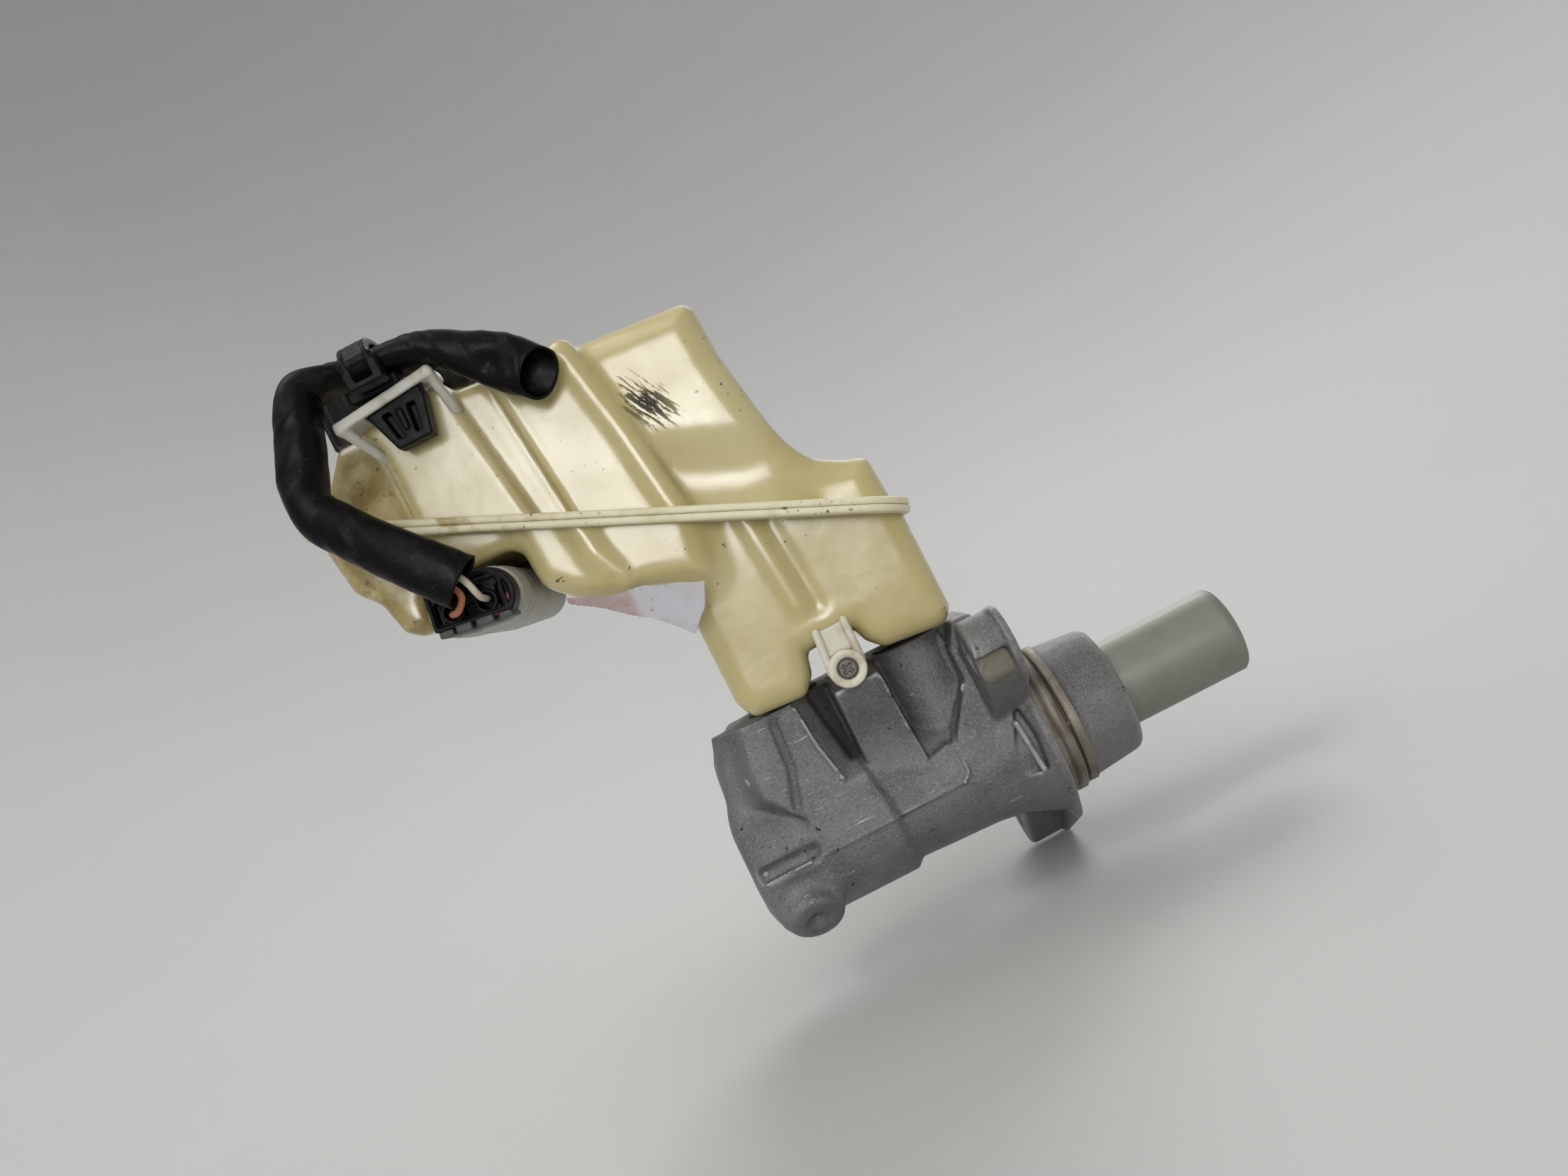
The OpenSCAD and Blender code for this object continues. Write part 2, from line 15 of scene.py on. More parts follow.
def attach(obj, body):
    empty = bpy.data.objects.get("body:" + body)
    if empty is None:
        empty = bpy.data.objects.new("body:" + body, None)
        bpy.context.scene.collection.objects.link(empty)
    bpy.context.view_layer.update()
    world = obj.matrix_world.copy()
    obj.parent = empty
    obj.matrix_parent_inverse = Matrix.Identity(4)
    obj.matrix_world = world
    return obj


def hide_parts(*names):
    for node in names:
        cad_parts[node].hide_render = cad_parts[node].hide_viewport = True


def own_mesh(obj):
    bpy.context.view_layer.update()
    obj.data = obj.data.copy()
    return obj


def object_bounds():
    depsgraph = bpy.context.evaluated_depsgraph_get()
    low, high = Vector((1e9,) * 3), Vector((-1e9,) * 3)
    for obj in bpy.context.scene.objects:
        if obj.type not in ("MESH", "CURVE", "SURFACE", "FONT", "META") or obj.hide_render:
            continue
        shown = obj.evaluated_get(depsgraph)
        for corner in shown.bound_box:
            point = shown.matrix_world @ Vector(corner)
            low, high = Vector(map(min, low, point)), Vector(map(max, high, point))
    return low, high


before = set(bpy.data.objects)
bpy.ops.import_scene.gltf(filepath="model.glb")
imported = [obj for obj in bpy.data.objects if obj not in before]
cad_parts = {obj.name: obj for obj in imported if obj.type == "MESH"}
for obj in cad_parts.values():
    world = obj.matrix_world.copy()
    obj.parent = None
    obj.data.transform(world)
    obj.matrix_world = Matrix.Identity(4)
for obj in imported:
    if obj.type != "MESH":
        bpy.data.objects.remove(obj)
CAD_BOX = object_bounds()
MM = 0.001
HOUSING = "housing"

Points = namedtuple("Points", "x y z")
Port = namedtuple("Port", "x angle seat")

# Driving sizes, as the CAD has them
SOCKET_X = (-57, -20)
SADDLE_TOP = 36.5
BARREL_END = -84
FRONT_PORT, REAR_PORT = Port(-74, 50, 24), Port(-31, 0, 16)
PORT_R, PORT_HOLE_R, BOLT_HOLE_R = 9, 5.5, 4.25
SEAM_X, SEAM_Z, SEAM_LENGTH, SEAM_HALF_Y = -6.5, 67.2, 147, 41
SEAM_TILT = math.radians(24.2)
NECK_X, NECK_R, NECK_BORE_R, NECK_TOP = -110, 17.5, 15, 158
LUG_X, LUG_Z = -38.1, 38.8
SENSOR_X, SENSOR_Z, SENSOR_TILT = -108.5, 93, math.radians(8)
EAR_ANGLE, BOLT_CIRCLE_R = math.radians(42), 41
EAR = (-BOLT_CIRCLE_R * math.cos(EAR_ANGLE), BOLT_CIRCLE_R * math.sin(EAR_ANGLE))
STRAP_X, STRAP_Y, STRAP_Z = -105, -44, 151.3
BLIND_X, BLIND_ANGLE, BLIND_REACH = -73.5, math.radians(42), 23.8
TANK_WALL = 2.6
WIRE_R = 0.8
MOST_TRIANGLES = 190000

# The stage: a round floor with a wall that curves up from it
FLOOR_MIDDLE_X, FLOOR_R, CURVE_R, FLOOR_NEAR_STRETCH = -42, 150, 900, 1.9


# ---- Meshes ----


def lathe_points(profile, segments, axis="z", centre=(0, 0, 0)):
    """Rings of points about x or z: the profile is a list of (radius, place along the axis)."""
    rings = []
    for radius, along in profile:
        for k in range(segments):
            a = 2 * math.pi * k / segments
            u, v = radius * math.cos(a), radius * math.sin(a)
            point = (along, u, v) if axis == "x" else (u, v, along)
            rings.append([point[i] + centre[i] for i in range(3)])
    return rings


def ring_faces(rings, segments, closed=False):
    """Quads between neighbouring rings of points, and from the last to the first if closed."""
    faces = []
    for i in range(rings if closed else rings - 1):
        j = (i + 1) % rings
        for k in range(segments):
            n = (k + 1) % segments
            faces.append((i * segments + k, i * segments + n, j * segments + n, j * segments + k))
    return faces


def make_mesh(name, points, faces, material):
    """A smooth-shaded mesh object from points in millimetres."""
    mesh = bpy.data.meshes.new(name)
    mesh.from_pydata((np.asarray(points, float) * MM).tolist(), [], faces)
    mesh.update()
    piece = bpy.data.objects.new(name, mesh)
    bpy.context.scene.collection.objects.link(piece)
    mesh.materials.append(material)
    mesh.polygons.foreach_set("use_smooth", [True] * len(mesh.polygons))
    return piece


def densify(profile, step):
    """Adds points along a profile so that none are further apart than step."""
    out = [profile[0]]
    for a, b in zip(profile, profile[1:]):
        n = max(1, int(math.dist(a, b) / step))
        out += [tuple(a[i] + (b[i] - a[i]) * k / n for i in range(len(a))) for k in range(1, n + 1)]
    return out


def smooth_path(points, steps):
    """A Catmull-Rom curve through the points."""
    p = np.array(points, float)
    out = []
    for i in range(len(p) - 1):
        a, b, c, d = p[max(i - 1, 0)], p[i], p[i + 1], p[min(i + 2, len(p) - 1)]
        for f in np.arange(steps) / steps:
            out.append(0.5 * (2 * b + (c - a) * f + (2 * a - 5 * b + 4 * c - d) * f**2
                              + (3 * b - a - 3 * c + d) * f**3))
    return np.array([*out, p[-1]])


def sweep_rod(name, path, along, across, radius, material):
    """A round rod along a path, closed at both ends, from two directions at each of its points."""
    sides, rings = 14, []
    for centre, u, v in zip(path, across, np.cross(along, across)):
        for k in range(sides):
            a = 2 * math.pi * k / sides
            rings.append(centre + radius * (math.cos(a) * u + math.sin(a) * v))
    start, end = range(sides), range((len(path) - 1) * sides, len(path) * sides)
    faces = [*ring_faces(len(path), sides), tuple(start)[::-1], tuple(end)]
    return make_mesh(name, rings, faces, material)


def directions(path):
    """Unit vectors along a path."""
    along = np.gradient(path, axis=0)
    return along / np.linalg.norm(along, axis=1)[:, None]


# ---- Camera and stage ----


def make_camera():
    data = bpy.data.cameras.new("camera")
    data.lens = 27.5
    data.sensor_width = 36
    data.clip_start = 0.01
    camera = bpy.data.objects.new("camera", data)
    roll = math.radians(27.07)
    right = Vector((math.cos(roll), 0, -math.sin(roll)))
    up = Vector((math.sin(roll), 0, math.cos(roll)))
    turn = Matrix((right, up, Vector((0, -1, 0)))).transposed()
    camera.matrix_world = Matrix.Translation((-0.043, -0.3207, 0.0632)) @ turn.to_4x4()
    bpy.context.scene.collection.objects.link(camera)
    bpy.context.scene.camera = camera


def area_light(name, place, target, size, power, spread=180):
    data = bpy.data.lights.new(name, "AREA")
    data.shape = "RECTANGLE"
    data.size, data.size_y = size
    data.energy = power
    data.spread = math.radians(spread)
    lamp = bpy.data.objects.new(name, data)
    lamp.location = place
    lamp.rotation_euler = (Vector(target) - Vector(place)).to_track_quat("-Z", "Y").to_euler()
    bpy.context.scene.collection.objects.link(lamp)


def make_lights():
    """Even studio light from above the camera, and a softbox whose image falls on the tank."""
    bpy.context.scene.view_settings.view_transform = "Standard"
    world = bpy.data.worlds.new("studio")
    world.use_nodes = True
    shade = world.node_tree.nodes["Background"]
    shade.inputs["Color"].default_value = (0.97, 0.98, 1, 1)
    shade.inputs["Strength"].default_value = 0.4
    bpy.context.scene.world = world
    sun = bpy.data.lights.new("overhead", "SUN")
    sun.energy, sun.angle = 0.68, math.radians(55)
    lamp = bpy.data.objects.new("overhead", sun)
    lamp.rotation_euler = Vector((0.3, 0.6, -0.75)).to_track_quat("-Z", "Y").to_euler()
    bpy.context.scene.collection.objects.link(lamp)
    middle = (-0.05, 0, 0.07)
    area_light("softbox", (-0.1, -0.9, 0.245), (-0.06, 0, 0.1), (0.4, 0.28), 0.54, 80)
    area_light("ceiling", (-0.35, -0.1, 0.9), middle, (0.6, 0.6), 2.5)
    area_light("back", (0.5, 1.5, 1.2), middle, (0.9, 0.9), 20)


def make_stage():
    """A pale floor that curves up all round, so no horizon shows."""
    low, steps, segments = CAD_BOX[0].z / MM - 0.5, 24, 96
    profile = [(0.01, low)]
    for k in range(steps + 1):
        a = math.pi / 2 * k / steps
        profile.append((FLOOR_R + CURVE_R * math.sin(a), low + CURVE_R * (1 - math.cos(a))))
    profile.append((FLOOR_R + CURVE_R, low + 1500))
    points = lathe_points(profile, segments, centre=(FLOOR_MIDDLE_X, 0, 0))
    points = [(x, y * FLOOR_NEAR_STRETCH if y < 0 else y, z) for x, y, z in points]
    floor = make_mesh("floor", points, ring_faces(len(profile), segments), floor_material())
    floor.visible_shadow = False


# ---- Materials ----


class Surface:
    """A node material that is built up from short calls."""

    def __init__(self, name, colour, roughness=0.5, metallic=0.0, **sockets):
        self.material = bpy.data.materials.new(name)
        self.material.use_nodes = True
        self.tree = self.material.node_tree
        self.shader = self.tree.nodes["Principled BSDF"]
        sockets |= {"Base_Color": (*colour, 1), "Roughness": roughness, "Metallic": metallic}
        for socket, value in sockets.items():
            self.shader.inputs[socket.replace("_", " ")].default_value = value
        self.place = self.node("TexCoord").outputs["Object"]
        self.colour = None
        self.normal = None

    def node(self, kind, **settings):
        node = self.tree.nodes.new("ShaderNode" + kind)
        for name, value in settings.items():
            setattr(node, name, value)
        return node

    def link(self, a, b):
        self.tree.links.new(a, b)

    def noise(self, per_mm, detail=4, rough=0.55, stretch=None, place=None):
        """Noise from 0 to 1 with that many features in a millimetre."""
        node = self.node("TexNoise")
        node.inputs["Scale"].default_value = per_mm / MM
        node.inputs["Detail"].default_value = detail
        node.inputs["Roughness"].default_value = rough
        place = place or self.place
        if stretch:
            mapping = self.node("Mapping")
            mapping.inputs["Scale"].default_value = stretch
            self.link(place, mapping.inputs["Vector"])
            place = mapping.outputs["Vector"]
        self.link(place, node.inputs["Vector"])
        return node.outputs["Fac"]

    def local(self, place, half, turn):
        """Coordinates from a place, turned about y, in which half is one millimetre."""
        mapping = self.node("Mapping", vector_type="TEXTURE")
        mapping.inputs["Location"].default_value = [c * MM for c in place]
        mapping.inputs["Rotation"].default_value = (0, turn, 0)
        mapping.inputs["Scale"].default_value = half
        self.link(self.place, mapping.inputs["Vector"])
        return mapping.outputs["Vector"]

    def patch(self, place, half, turn, soft):
        """1 in the middle of an ellipsoid with those half lengths, and 0 outside it."""
        length = self.node("VectorMath", operation="LENGTH")
        self.link(self.local(place, half, turn), length.inputs[0])
        return self.spread(length.outputs["Value"], MM, soft * MM)

    def edges(self):
        """Above one half on convex edges, and below it in creases."""
        return self.node("NewGeometry").outputs["Pointiness"]

    def axis(self, index):
        """A point's place along one axis, in metres."""
        split = self.node("SeparateXYZ")
        self.link(self.place, split.inputs[0])
        return split.outputs[index]

    def spread(self, value, low, high, to_low=0.0, to_high=1.0):
        """The value's range from low to high, stretched to run from to_low to to_high."""
        node = self.node("MapRange", interpolation_type="SMOOTHSTEP")
        limits = ("From Min", low), ("From Max", high), ("To Min", to_low), ("To Max", to_high)
        for socket, number in limits:
            node.inputs[socket].default_value = number
        self.link(value, node.inputs["Value"])
        return node.outputs["Result"]

    def combine(self, a, b, operation="MULTIPLY"):
        node = self.node("Math", operation=operation)
        self.link(a, node.inputs[0])
        self.link(b, node.inputs[1])
        return node.outputs[0]

    def tint(self, amount, colour):
        """Mixes a colour over what is there already, by an amount from 0 to 1."""
        node = self.node("Mix", data_type="RGBA")
        self.link(amount, node.inputs["Factor"])
        base = self.shader.inputs["Base Color"]
        if self.colour is None:
            node.inputs[6].default_value = base.default_value
        else:
            self.link(self.colour, node.inputs[6])
        node.inputs[7].default_value = (*colour, 1)
        self.colour = node.outputs[2]
        self.link(self.colour, base)

    def blotches(self, per_mm, detail, low, high, amount, colour, **noise):
        """Tints by noise: nothing where it is below low, and the whole amount above high."""
        self.tint(self.spread(self.noise(per_mm, detail, **noise), low, high, 0, amount), colour)

    def specks(self, fine, coarse, colour):
        """Small marks in crowds. Each noise is given with the low and high of its spread."""
        masks = [self.spread(self.noise(*noise), low, high) for *noise, low, high in (fine, coarse)]
        self.tint(self.combine(*masks), colour)

    def creases(self, amount, colour, deepest=0.43):
        self.tint(self.spread(self.edges(), 0.49, deepest, 0, amount), colour)

    def bump(self, height, depth_mm):
        node = self.node("Bump")
        node.inputs["Strength"].default_value = 1
        node.inputs["Distance"].default_value = depth_mm * MM
        self.link(height, node.inputs["Height"])
        if self.normal is not None:
            self.link(self.normal, node.inputs["Normal"])
        self.normal = node.outputs["Normal"]
        self.link(self.normal, self.shader.inputs["Normal"])

    def gloss(self, value, low, high):
        """Roughness that runs from low to high with a value from 0 to 1."""
        self.link(self.spread(value, 0, 1, low, high), self.shader.inputs["Roughness"])


def milky(depth_m, weight, *radius):
    """Shader settings for a plastic that light goes into."""
    return {"Subsurface_Weight": weight, "Subsurface_Radius": radius, "Subsurface_Scale": depth_m}


def floor_material():
    s = Surface("pale_floor", (0.5, 0.5, 0.487), 0.9)
    s.blotches(0.004, 3, 0.4, 0.7, 0.3, (0.47, 0.47, 0.455))
    return s.material


def cast_material():
    """Grainy cast alloy: bright edges of wear and painted highlight, dark creases of painted shade and
    cavity dirt, and two worn or machined places.
    """
    s = Surface("cast_aluminium", (0.205, 0.203, 0.198), 0.5, 0.6)
    s.blotches(0.05, 5, 0.42, 0.62, 0.7, (0.125, 0.122, 0.115))
    s.blotches(2.2, 3, 0.48, 0.66, 0.6, (0.34, 0.337, 0.33), rough=0.7)
    s.blotches(1.3, 3, 0.52, 0.7, 0.6, (0.1, 0.1, 0.098), rough=0.7)
    # Convex edges lightened: edge wear, with a painted highlight along every edge.
    s.tint(s.spread(s.edges(), 0.515, 0.57, 0, 0.85), (0.55, 0.55, 0.55))
    # Creases darkened nearly to black: painted crease shade, with cavity dirt.
    s.creases(0.85, (0.05, 0.048, 0.044))
    s.specks((0.7, 2, 0.66, 0.72), (0.06, 2, 0.45, 0.6), (0.03, 0.028, 0.025))
    s.blotches(0.9, 3, 0.69, 0.72, 0.6, (0.6, 0.6, 0.6), rough=0.6, stretch=(0.12, 1, 1))
    s.tint(s.patch((-6.5, -38, 22), (5.4, 3.4, 7), 0.1, 0.75), (0.2, 0.18, 0.145))
    s.tint(s.patch((FRONT_PORT.x, 25, 30), (11, 5, 5), 0, 0.9), (0.34, 0.3, 0.22))
    s.gloss(s.noise(0.3), 0.4, 0.62)
    s.bump(s.noise(2.0, 4, 0.65), 0.2)
    s.bump(s.noise(0.35, 3), 0.3)
    return s.material


def machined_material(name="machined_alloy", colour=(0.27, 0.245, 0.2)):
    """Turned alloy, with fine lines round its axis, which is x."""
    s = Surface(name, colour, 0.45, 0.85)
    lines = s.noise(4, 2, 0.6, stretch=(1, 0.02, 0.02))
    s.blotches(0.1, 4, 0.42, 0.6, 0.8, (0.14, 0.115, 0.085))
    s.tint(s.spread(lines, 0.5, 0.7, 0, 0.5), (0.42, 0.395, 0.35))
    s.creases(0.8, (0.05, 0.04, 0.03))
    s.gloss(s.noise(0.6), 0.36, 0.6)
    s.bump(lines, 0.05)
    return s.material


def plunger_material():
    s = Surface("plunger_alloy", (0.255, 0.25, 0.217), 0.5, 0.6)
    lines = s.noise(3, 3, 0.7, stretch=(1, 0.015, 0.015))
    s.tint(s.spread(lines, 0.45, 0.7, 0, 0.35), (0.31, 0.305, 0.265))
    s.blotches(0.08, 4, 0.5, 0.7, 0.35, (0.19, 0.185, 0.158))
    s.gloss(lines, 0.44, 0.55)
    s.bump(lines, 0.015)
    s.bump(s.noise(3.2, 2), 0.01)
    return s.material


def steel_material(name, colour, roughness=0.35):
    s = Surface(name, colour, roughness, 1.0)
    s.blotches(0.4, 4, 0.45, 0.7, 0.5, [c * 0.6 for c in colour])
    s.gloss(s.noise(1), roughness * 0.8, roughness * 1.4)
    s.bump(s.noise(2.5, 3), 0.03)
    return s.material


def reservoir_material():
    """Milky yellow plastic, aged unevenly, with its left side darkened by painted sleeve shadow and
    dirt, and a smear on the front.
    """
    s = Surface("reservoir_plastic", (0.53, 0.445, 0.2), 0.3, Coat_Roughness=0.19,
                **milky(0.004, 0.45, 1, 0.75, 0.35))
    s.blotches(0.018, 3, 0.4, 0.7, 0.6, (0.62, 0.555, 0.32))
    s.blotches(0.06, 5, 0.52, 0.72, 0.3, (0.36, 0.26, 0.075))
    s.creases(0.5, (0.3, 0.2, 0.055), 0.45)
    # The near side of the left end, behind the sleeve, is darkened amber: painted shadow of the sleeve,
    # with dirt. Dark grime marks are laid over it.
    left = s.combine(s.spread(s.axis(0), -0.105, -0.125), s.spread(s.axis(1), 0.012, -0.02))
    s.tint(s.combine(left, s.spread(s.noise(0.09, 5), 0.3, 0.6)), (0.25, 0.175, 0.035))
    s.tint(s.combine(left, s.spread(s.noise(0.3, 6, 0.75), 0.585, 0.66)), (0.06, 0.042, 0.016))
    s.specks((0.6, 2, 0.68, 0.73), (0.05, 2, 0.48, 0.58), (0.09, 0.055, 0.025))
    turn = math.radians(62)
    smear = s.patch((-52, -36, 117.5), (15, 12, 9), turn, 0.1)
    fine = s.noise(1.0, 4, 0.7, place=s.local((0, 0, 0), (6, 6, 0.9), turn))
    streaks = s.spread(s.combine(fine, s.spread(smear, 0, 1, 0, 0.2), "ADD"), 0.62, 0.68)
    streaks = s.combine(smear, streaks)
    s.tint(streaks, (0.022, 0.018, 0.015))
    s.link(s.spread(streaks, 0, 0.6, 1, 0), s.shader.inputs["Coat Weight"])
    s.link(s.spread(streaks, 0, 0.6, 0.6, 0.1), s.shader.inputs["Specular IOR Level"])
    s.gloss(s.noise(0.06, 4), 0.22, 0.4)
    s.bump(s.noise(0.035, 1), 2.6)
    s.bump(s.noise(0.12, 2), 0.3)
    s.bump(s.noise(1.2, 3), 0.012)
    return s.material


def seam_material():
    """Paler plastic than the tank's, dirtier towards its low end."""
    s = Surface("weld_plastic", (0.7, 0.66, 0.47), 0.36, **milky(0.002, 0.4, 1, 0.8, 0.5))
    s.blotches(0.15, 5, 0.5, 0.72, 0.5, (0.52, 0.43, 0.22))
    low_end = s.spread(s.axis(0), -0.07, -0.115)
    s.tint(s.combine(low_end, s.spread(s.noise(0.2, 5), 0.45, 0.62)), (0.4, 0.3, 0.12))
    s.specks((0.8, 3, 0.62, 0.7), (0.05, 2, 0.5, 0.6), (0.14, 0.1, 0.05))
    s.gloss(s.noise(0.4), 0.3, 0.5)
    s.bump(s.noise(0.8, 4), 0.05)
    return s.material


def white_plastic_material(name="lug_plastic", colour=(0.66, 0.63, 0.52), dirt=0.6):
    s = Surface(name, colour, 0.42, **milky(0.002, 0.4, 1, 0.8, 0.5))
    s.blotches(0.15, 5, 0.5, 0.7, dirt, (0.36, 0.3, 0.19))
    s.creases(0.8, (0.13, 0.1, 0.06))
    s.blotches(0.9, 4, 0.62, 0.72, dirt, (0.14, 0.12, 0.09), rough=0.7)
    s.gloss(s.noise(0.4), 0.35, 0.55)
    s.bump(s.noise(0.8, 4), 0.05)
    return s.material


def black_material(name, colour=(0.005, 0.005, 0.0055), roughness=0.42, dust=0.3):
    s = Surface(name, colour, roughness, Specular_IOR_Level=0.18)
    s.blotches(0.12, 6, 0.54, 0.78, dust, (0.04, 0.038, 0.034))
    s.tint(s.spread(s.edges(), 0.53, 0.62, 0, 0.4), (0.035, 0.035, 0.035))
    s.gloss(s.noise(0.35, 4), roughness * 0.75, roughness * 1.5)
    s.bump(s.noise(0.9, 4), 0.03)
    return s.material


def sleeve_material():
    s = Surface("sleeve_vinyl", (0.003, 0.003, 0.0035), 0.38, Specular_IOR_Level=0.13)
    s.specks((0.9, 6, 0.75, 0.62, 0.72), (0.06, 3, 0.4, 0.6), (0.13, 0.125, 0.11))
    s.blotches(0.2, 5, 0.5, 0.7, 0.35, (0.022, 0.021, 0.02))
    s.gloss(s.noise(0.2, 5), 0.3, 0.5)
    s.bump(s.noise(0.11, 4), 0.45)
    s.bump(s.noise(0.9, 4), 0.03)
    return s.material


def plain_material(name, colour, roughness=0.5, dirt=0.4, grain=1.0):
    """One colour with darker blotches and a fine grain, for the small parts."""
    s = Surface(name, colour, roughness)
    s.blotches(0.2, 5, 0.48, 0.72, dirt, [c * 0.55 for c in colour])
    s.gloss(s.noise(0.5), roughness * 0.8, min(0.95, roughness * 1.3))
    s.bump(s.noise(grain, 3), 0.03)
    return s.material


def paper_material():
    """White paper whose left end, from one line on, is its browner back."""
    s = Surface("label_paper", (0.48, 0.47, 0.5), 0.75)
    s.tint(s.spread(s.axis(0), -0.0745, -0.0775), (0.36, 0.265, 0.255))
    s.blotches(0.3, 5, 0.5, 0.75, 0.5, (0.46, 0.41, 0.39))
    s.specks((0.7, 4, 0.7, 0.6, 0.68), (0.1, 2, 0.5, 0.6), (0.12, 0.1, 0.09))
    s.gloss(s.noise(0.5), 0.65, 0.85)
    s.bump(s.noise(0.35, 5), 0.25)
    s.bump(s.noise(3, 3), 0.03)
    return s.material


# ---- Shapes as distance fields ----


class Grid:
    """Points on a regular grid in millimetres, and the skin of a field given on them."""

    def __init__(self, low, high, step):
        self.low, self.step = np.array(low, float), step
        x, y, z = (np.arange(a, b + step, step, dtype=np.float32) for a, b in zip(low, high))
        self.x, self.y, self.z = x[:, None, None], y[None, :, None], z[None, None, :]
        self.shape = (len(x), len(y), len(z))

    def skin(self, field):
        """Points and quads of the surface where the field crosses zero."""
        field = np.broadcast_to(field, self.shape)
        cells = tuple(n - 1 for n in self.shape)
        total = int(np.prod(cells))
        sums, count = np.zeros((3, total)), np.zeros(total)
        quads = []
        for axis in range(3):
            u, v = (axis + 1) % 3, (axis + 2) % 3
            first = [slice(None)] * 3
            first[axis] = slice(0, -1)
            second = [slice(None)] * 3
            second[axis] = slice(1, None)
            a, b = field[tuple(first)], field[tuple(second)]
            at = np.argwhere((a < 0) != (b < 0))
            keep = (at[:, u] > 0) & (at[:, v] > 0) & (at[:, u] < cells[u]) & (at[:, v] < cells[v])
            at = at[keep]
            here, there = a[tuple(at.T)], b[tuple(at.T)]
            place = at.astype(float)
            place[:, axis] += here / (here - there)
            corners = []
            for du, dv in ((1, 1), (0, 1), (0, 0), (1, 0)):
                cell = at.copy()
                cell[:, u] -= du
                cell[:, v] -= dv
                index = np.ravel_multi_index(cell.T, cells)
                corners.append(index)
                count += np.bincount(index, minlength=total)
                for k in range(3):
                    sums[k] += np.bincount(index, place[:, k], minlength=total)
            quad = np.stack(corners, 1)
            back = here > 0
            quad[back] = quad[back][:, ::-1]
            quads.append(quad)
        used = np.flatnonzero(count)
        number = np.full(total, -1)
        number[used] = np.arange(len(used))
        points = (sums[:, used] / count[used]).T * self.step + self.low
        return points, number[np.concatenate(quads)]


def outline(u, v, points):
    """Signed distance from (u, v) to a polygon, below zero inside it."""
    nearest = np.float32(1e12)
    inside = False
    for i, a in enumerate(points):
        b = points[i - 1]
        eu, ev = b[0] - a[0], b[1] - a[1]
        wu, wv = u - a[0], v - a[1]
        along = np.clip((wu * eu + wv * ev) / (eu * eu + ev * ev), 0, 1)
        nearest = np.minimum(nearest, (wu - eu * along) ** 2 + (wv - ev * along) ** 2)
        above, below = v >= a[1], v < b[1]
        left = eu * wv > ev * wu
        inside = inside ^ ((above & below & left) | (~above & ~below & ~left))
    return np.where(inside, -1, 1) * np.sqrt(nearest)


def inset(points, d):
    """A counter-clockwise polygon moved inwards by d."""
    moved = []
    for i, p in enumerate(points):
        p = np.array(p, float)
        u = p - np.array(points[i - 1], float)
        v = np.array(points[(i + 1) % len(points)], float) - p
        u, v = u / np.linalg.norm(u), v / np.linalg.norm(v)
        m, n = np.array((-u[1], u[0])), np.array((-v[1], v[0]))
        moved.append(tuple(p + d * (m + n) / (1 + m @ n)))
    return moved


def rounded(d, e, r):
    """The space where both d and e are below zero, with its edges rounded by r."""
    d, e = d + r, e + r
    outside = np.sqrt(np.maximum(d, 0) ** 2 + np.maximum(e, 0) ** 2)
    return np.minimum(np.maximum(d, e), 0) + outside - r


def between(w, low, high):
    return np.abs(w - (low + high) / 2) - (high - low) / 2


def prism(u, v, w, points, low, high, corner, edge):
    """An outline in (u, v) from low to high along w, with round corners and round edges."""
    flat = outline(u, v, inset(points, corner)) - corner
    return rounded(flat, between(w, low, high), edge)


def slab(g, flat, low, high, edge):
    """A flat shape in x and z made solid from low to high along y, with round edges."""
    return rounded(flat, between(g.y, low, high), edge)


def side_view(g, points, low, high, corner, edge):
    """A prism with its outline in x and z, from low to high along y."""
    return prism(g.x, g.z, g.y, points, low, high, corner, edge)


def cuboid(g, x, y, z, r):
    """A box with rounded edges."""
    return rounded(rounded(between(g.x, *x), between(g.y, *y), r), between(g.z, *z), r)


def rod(w, u, v, low, high, radius, edge):
    """A round rod along w, whose axis is where u and v are both 0."""
    return rounded(np.sqrt(u**2 + v**2) - radius, between(w, low, high), edge)


def rod_x(g, low, high, radius, y=0, z=0):
    return rod(g.x, g.y - y, g.z - z, low, high, radius, 0.3)


def lug_rod(g, low, high, radius, edge=0.3):
    """A rod on the lug's axis."""
    return rod(g.y, g.x - LUG_X, g.z - LUG_Z, low, high, radius, edge)


def rod_z(g, low, high, radius, x, edge=0.3):
    return rod(g.z, g.x - x, g.y, low, high, radius, edge)


def boss(g, port, low, high, radius, edge):
    """A rod that points outwards from the bore, at a port's angle in the y, z plane."""
    c, s = math.cos(math.radians(port.angle)), math.sin(math.radians(port.angle))
    along, across = g.y * c + g.z * s, g.z * c - g.y * s
    return rod(along, g.x - port.x, across, low, high, radius, edge)


def capsule(g, a, b, r):
    """A rod with round ends from point a to point b."""
    a, b = np.array(a, float), np.array(b, float)
    line = b - a
    dx, dy, dz = g.x - a[0], g.y - a[1], g.z - a[2]
    along = np.clip((dx * line[0] + dy * line[1] + dz * line[2]) / (line @ line), 0, 1)
    gap = [d - along * step for d, step in zip((dx, dy, dz), line)]
    return np.sqrt(gap[0] ** 2 + gap[1] ** 2 + gap[2] ** 2) - r


def chain(g, points, r):
    """Capsules end to end."""
    links = [capsule(g, a, b, r) for a, b in zip(points, points[1:])]
    whole = links[0]
    for link in links[1:]:
        whole = np.minimum(whole, link)
    return whole


def join(a, b, k):
    """Union with a fillet of about k."""
    h = np.maximum(k - np.abs(a - b), 0) / k
    return np.minimum(a, b) - h * h * k / 4


def cut(a, b, k):
    """a without b, with the new edge rounded by about k."""
    return -join(-a, b, k)


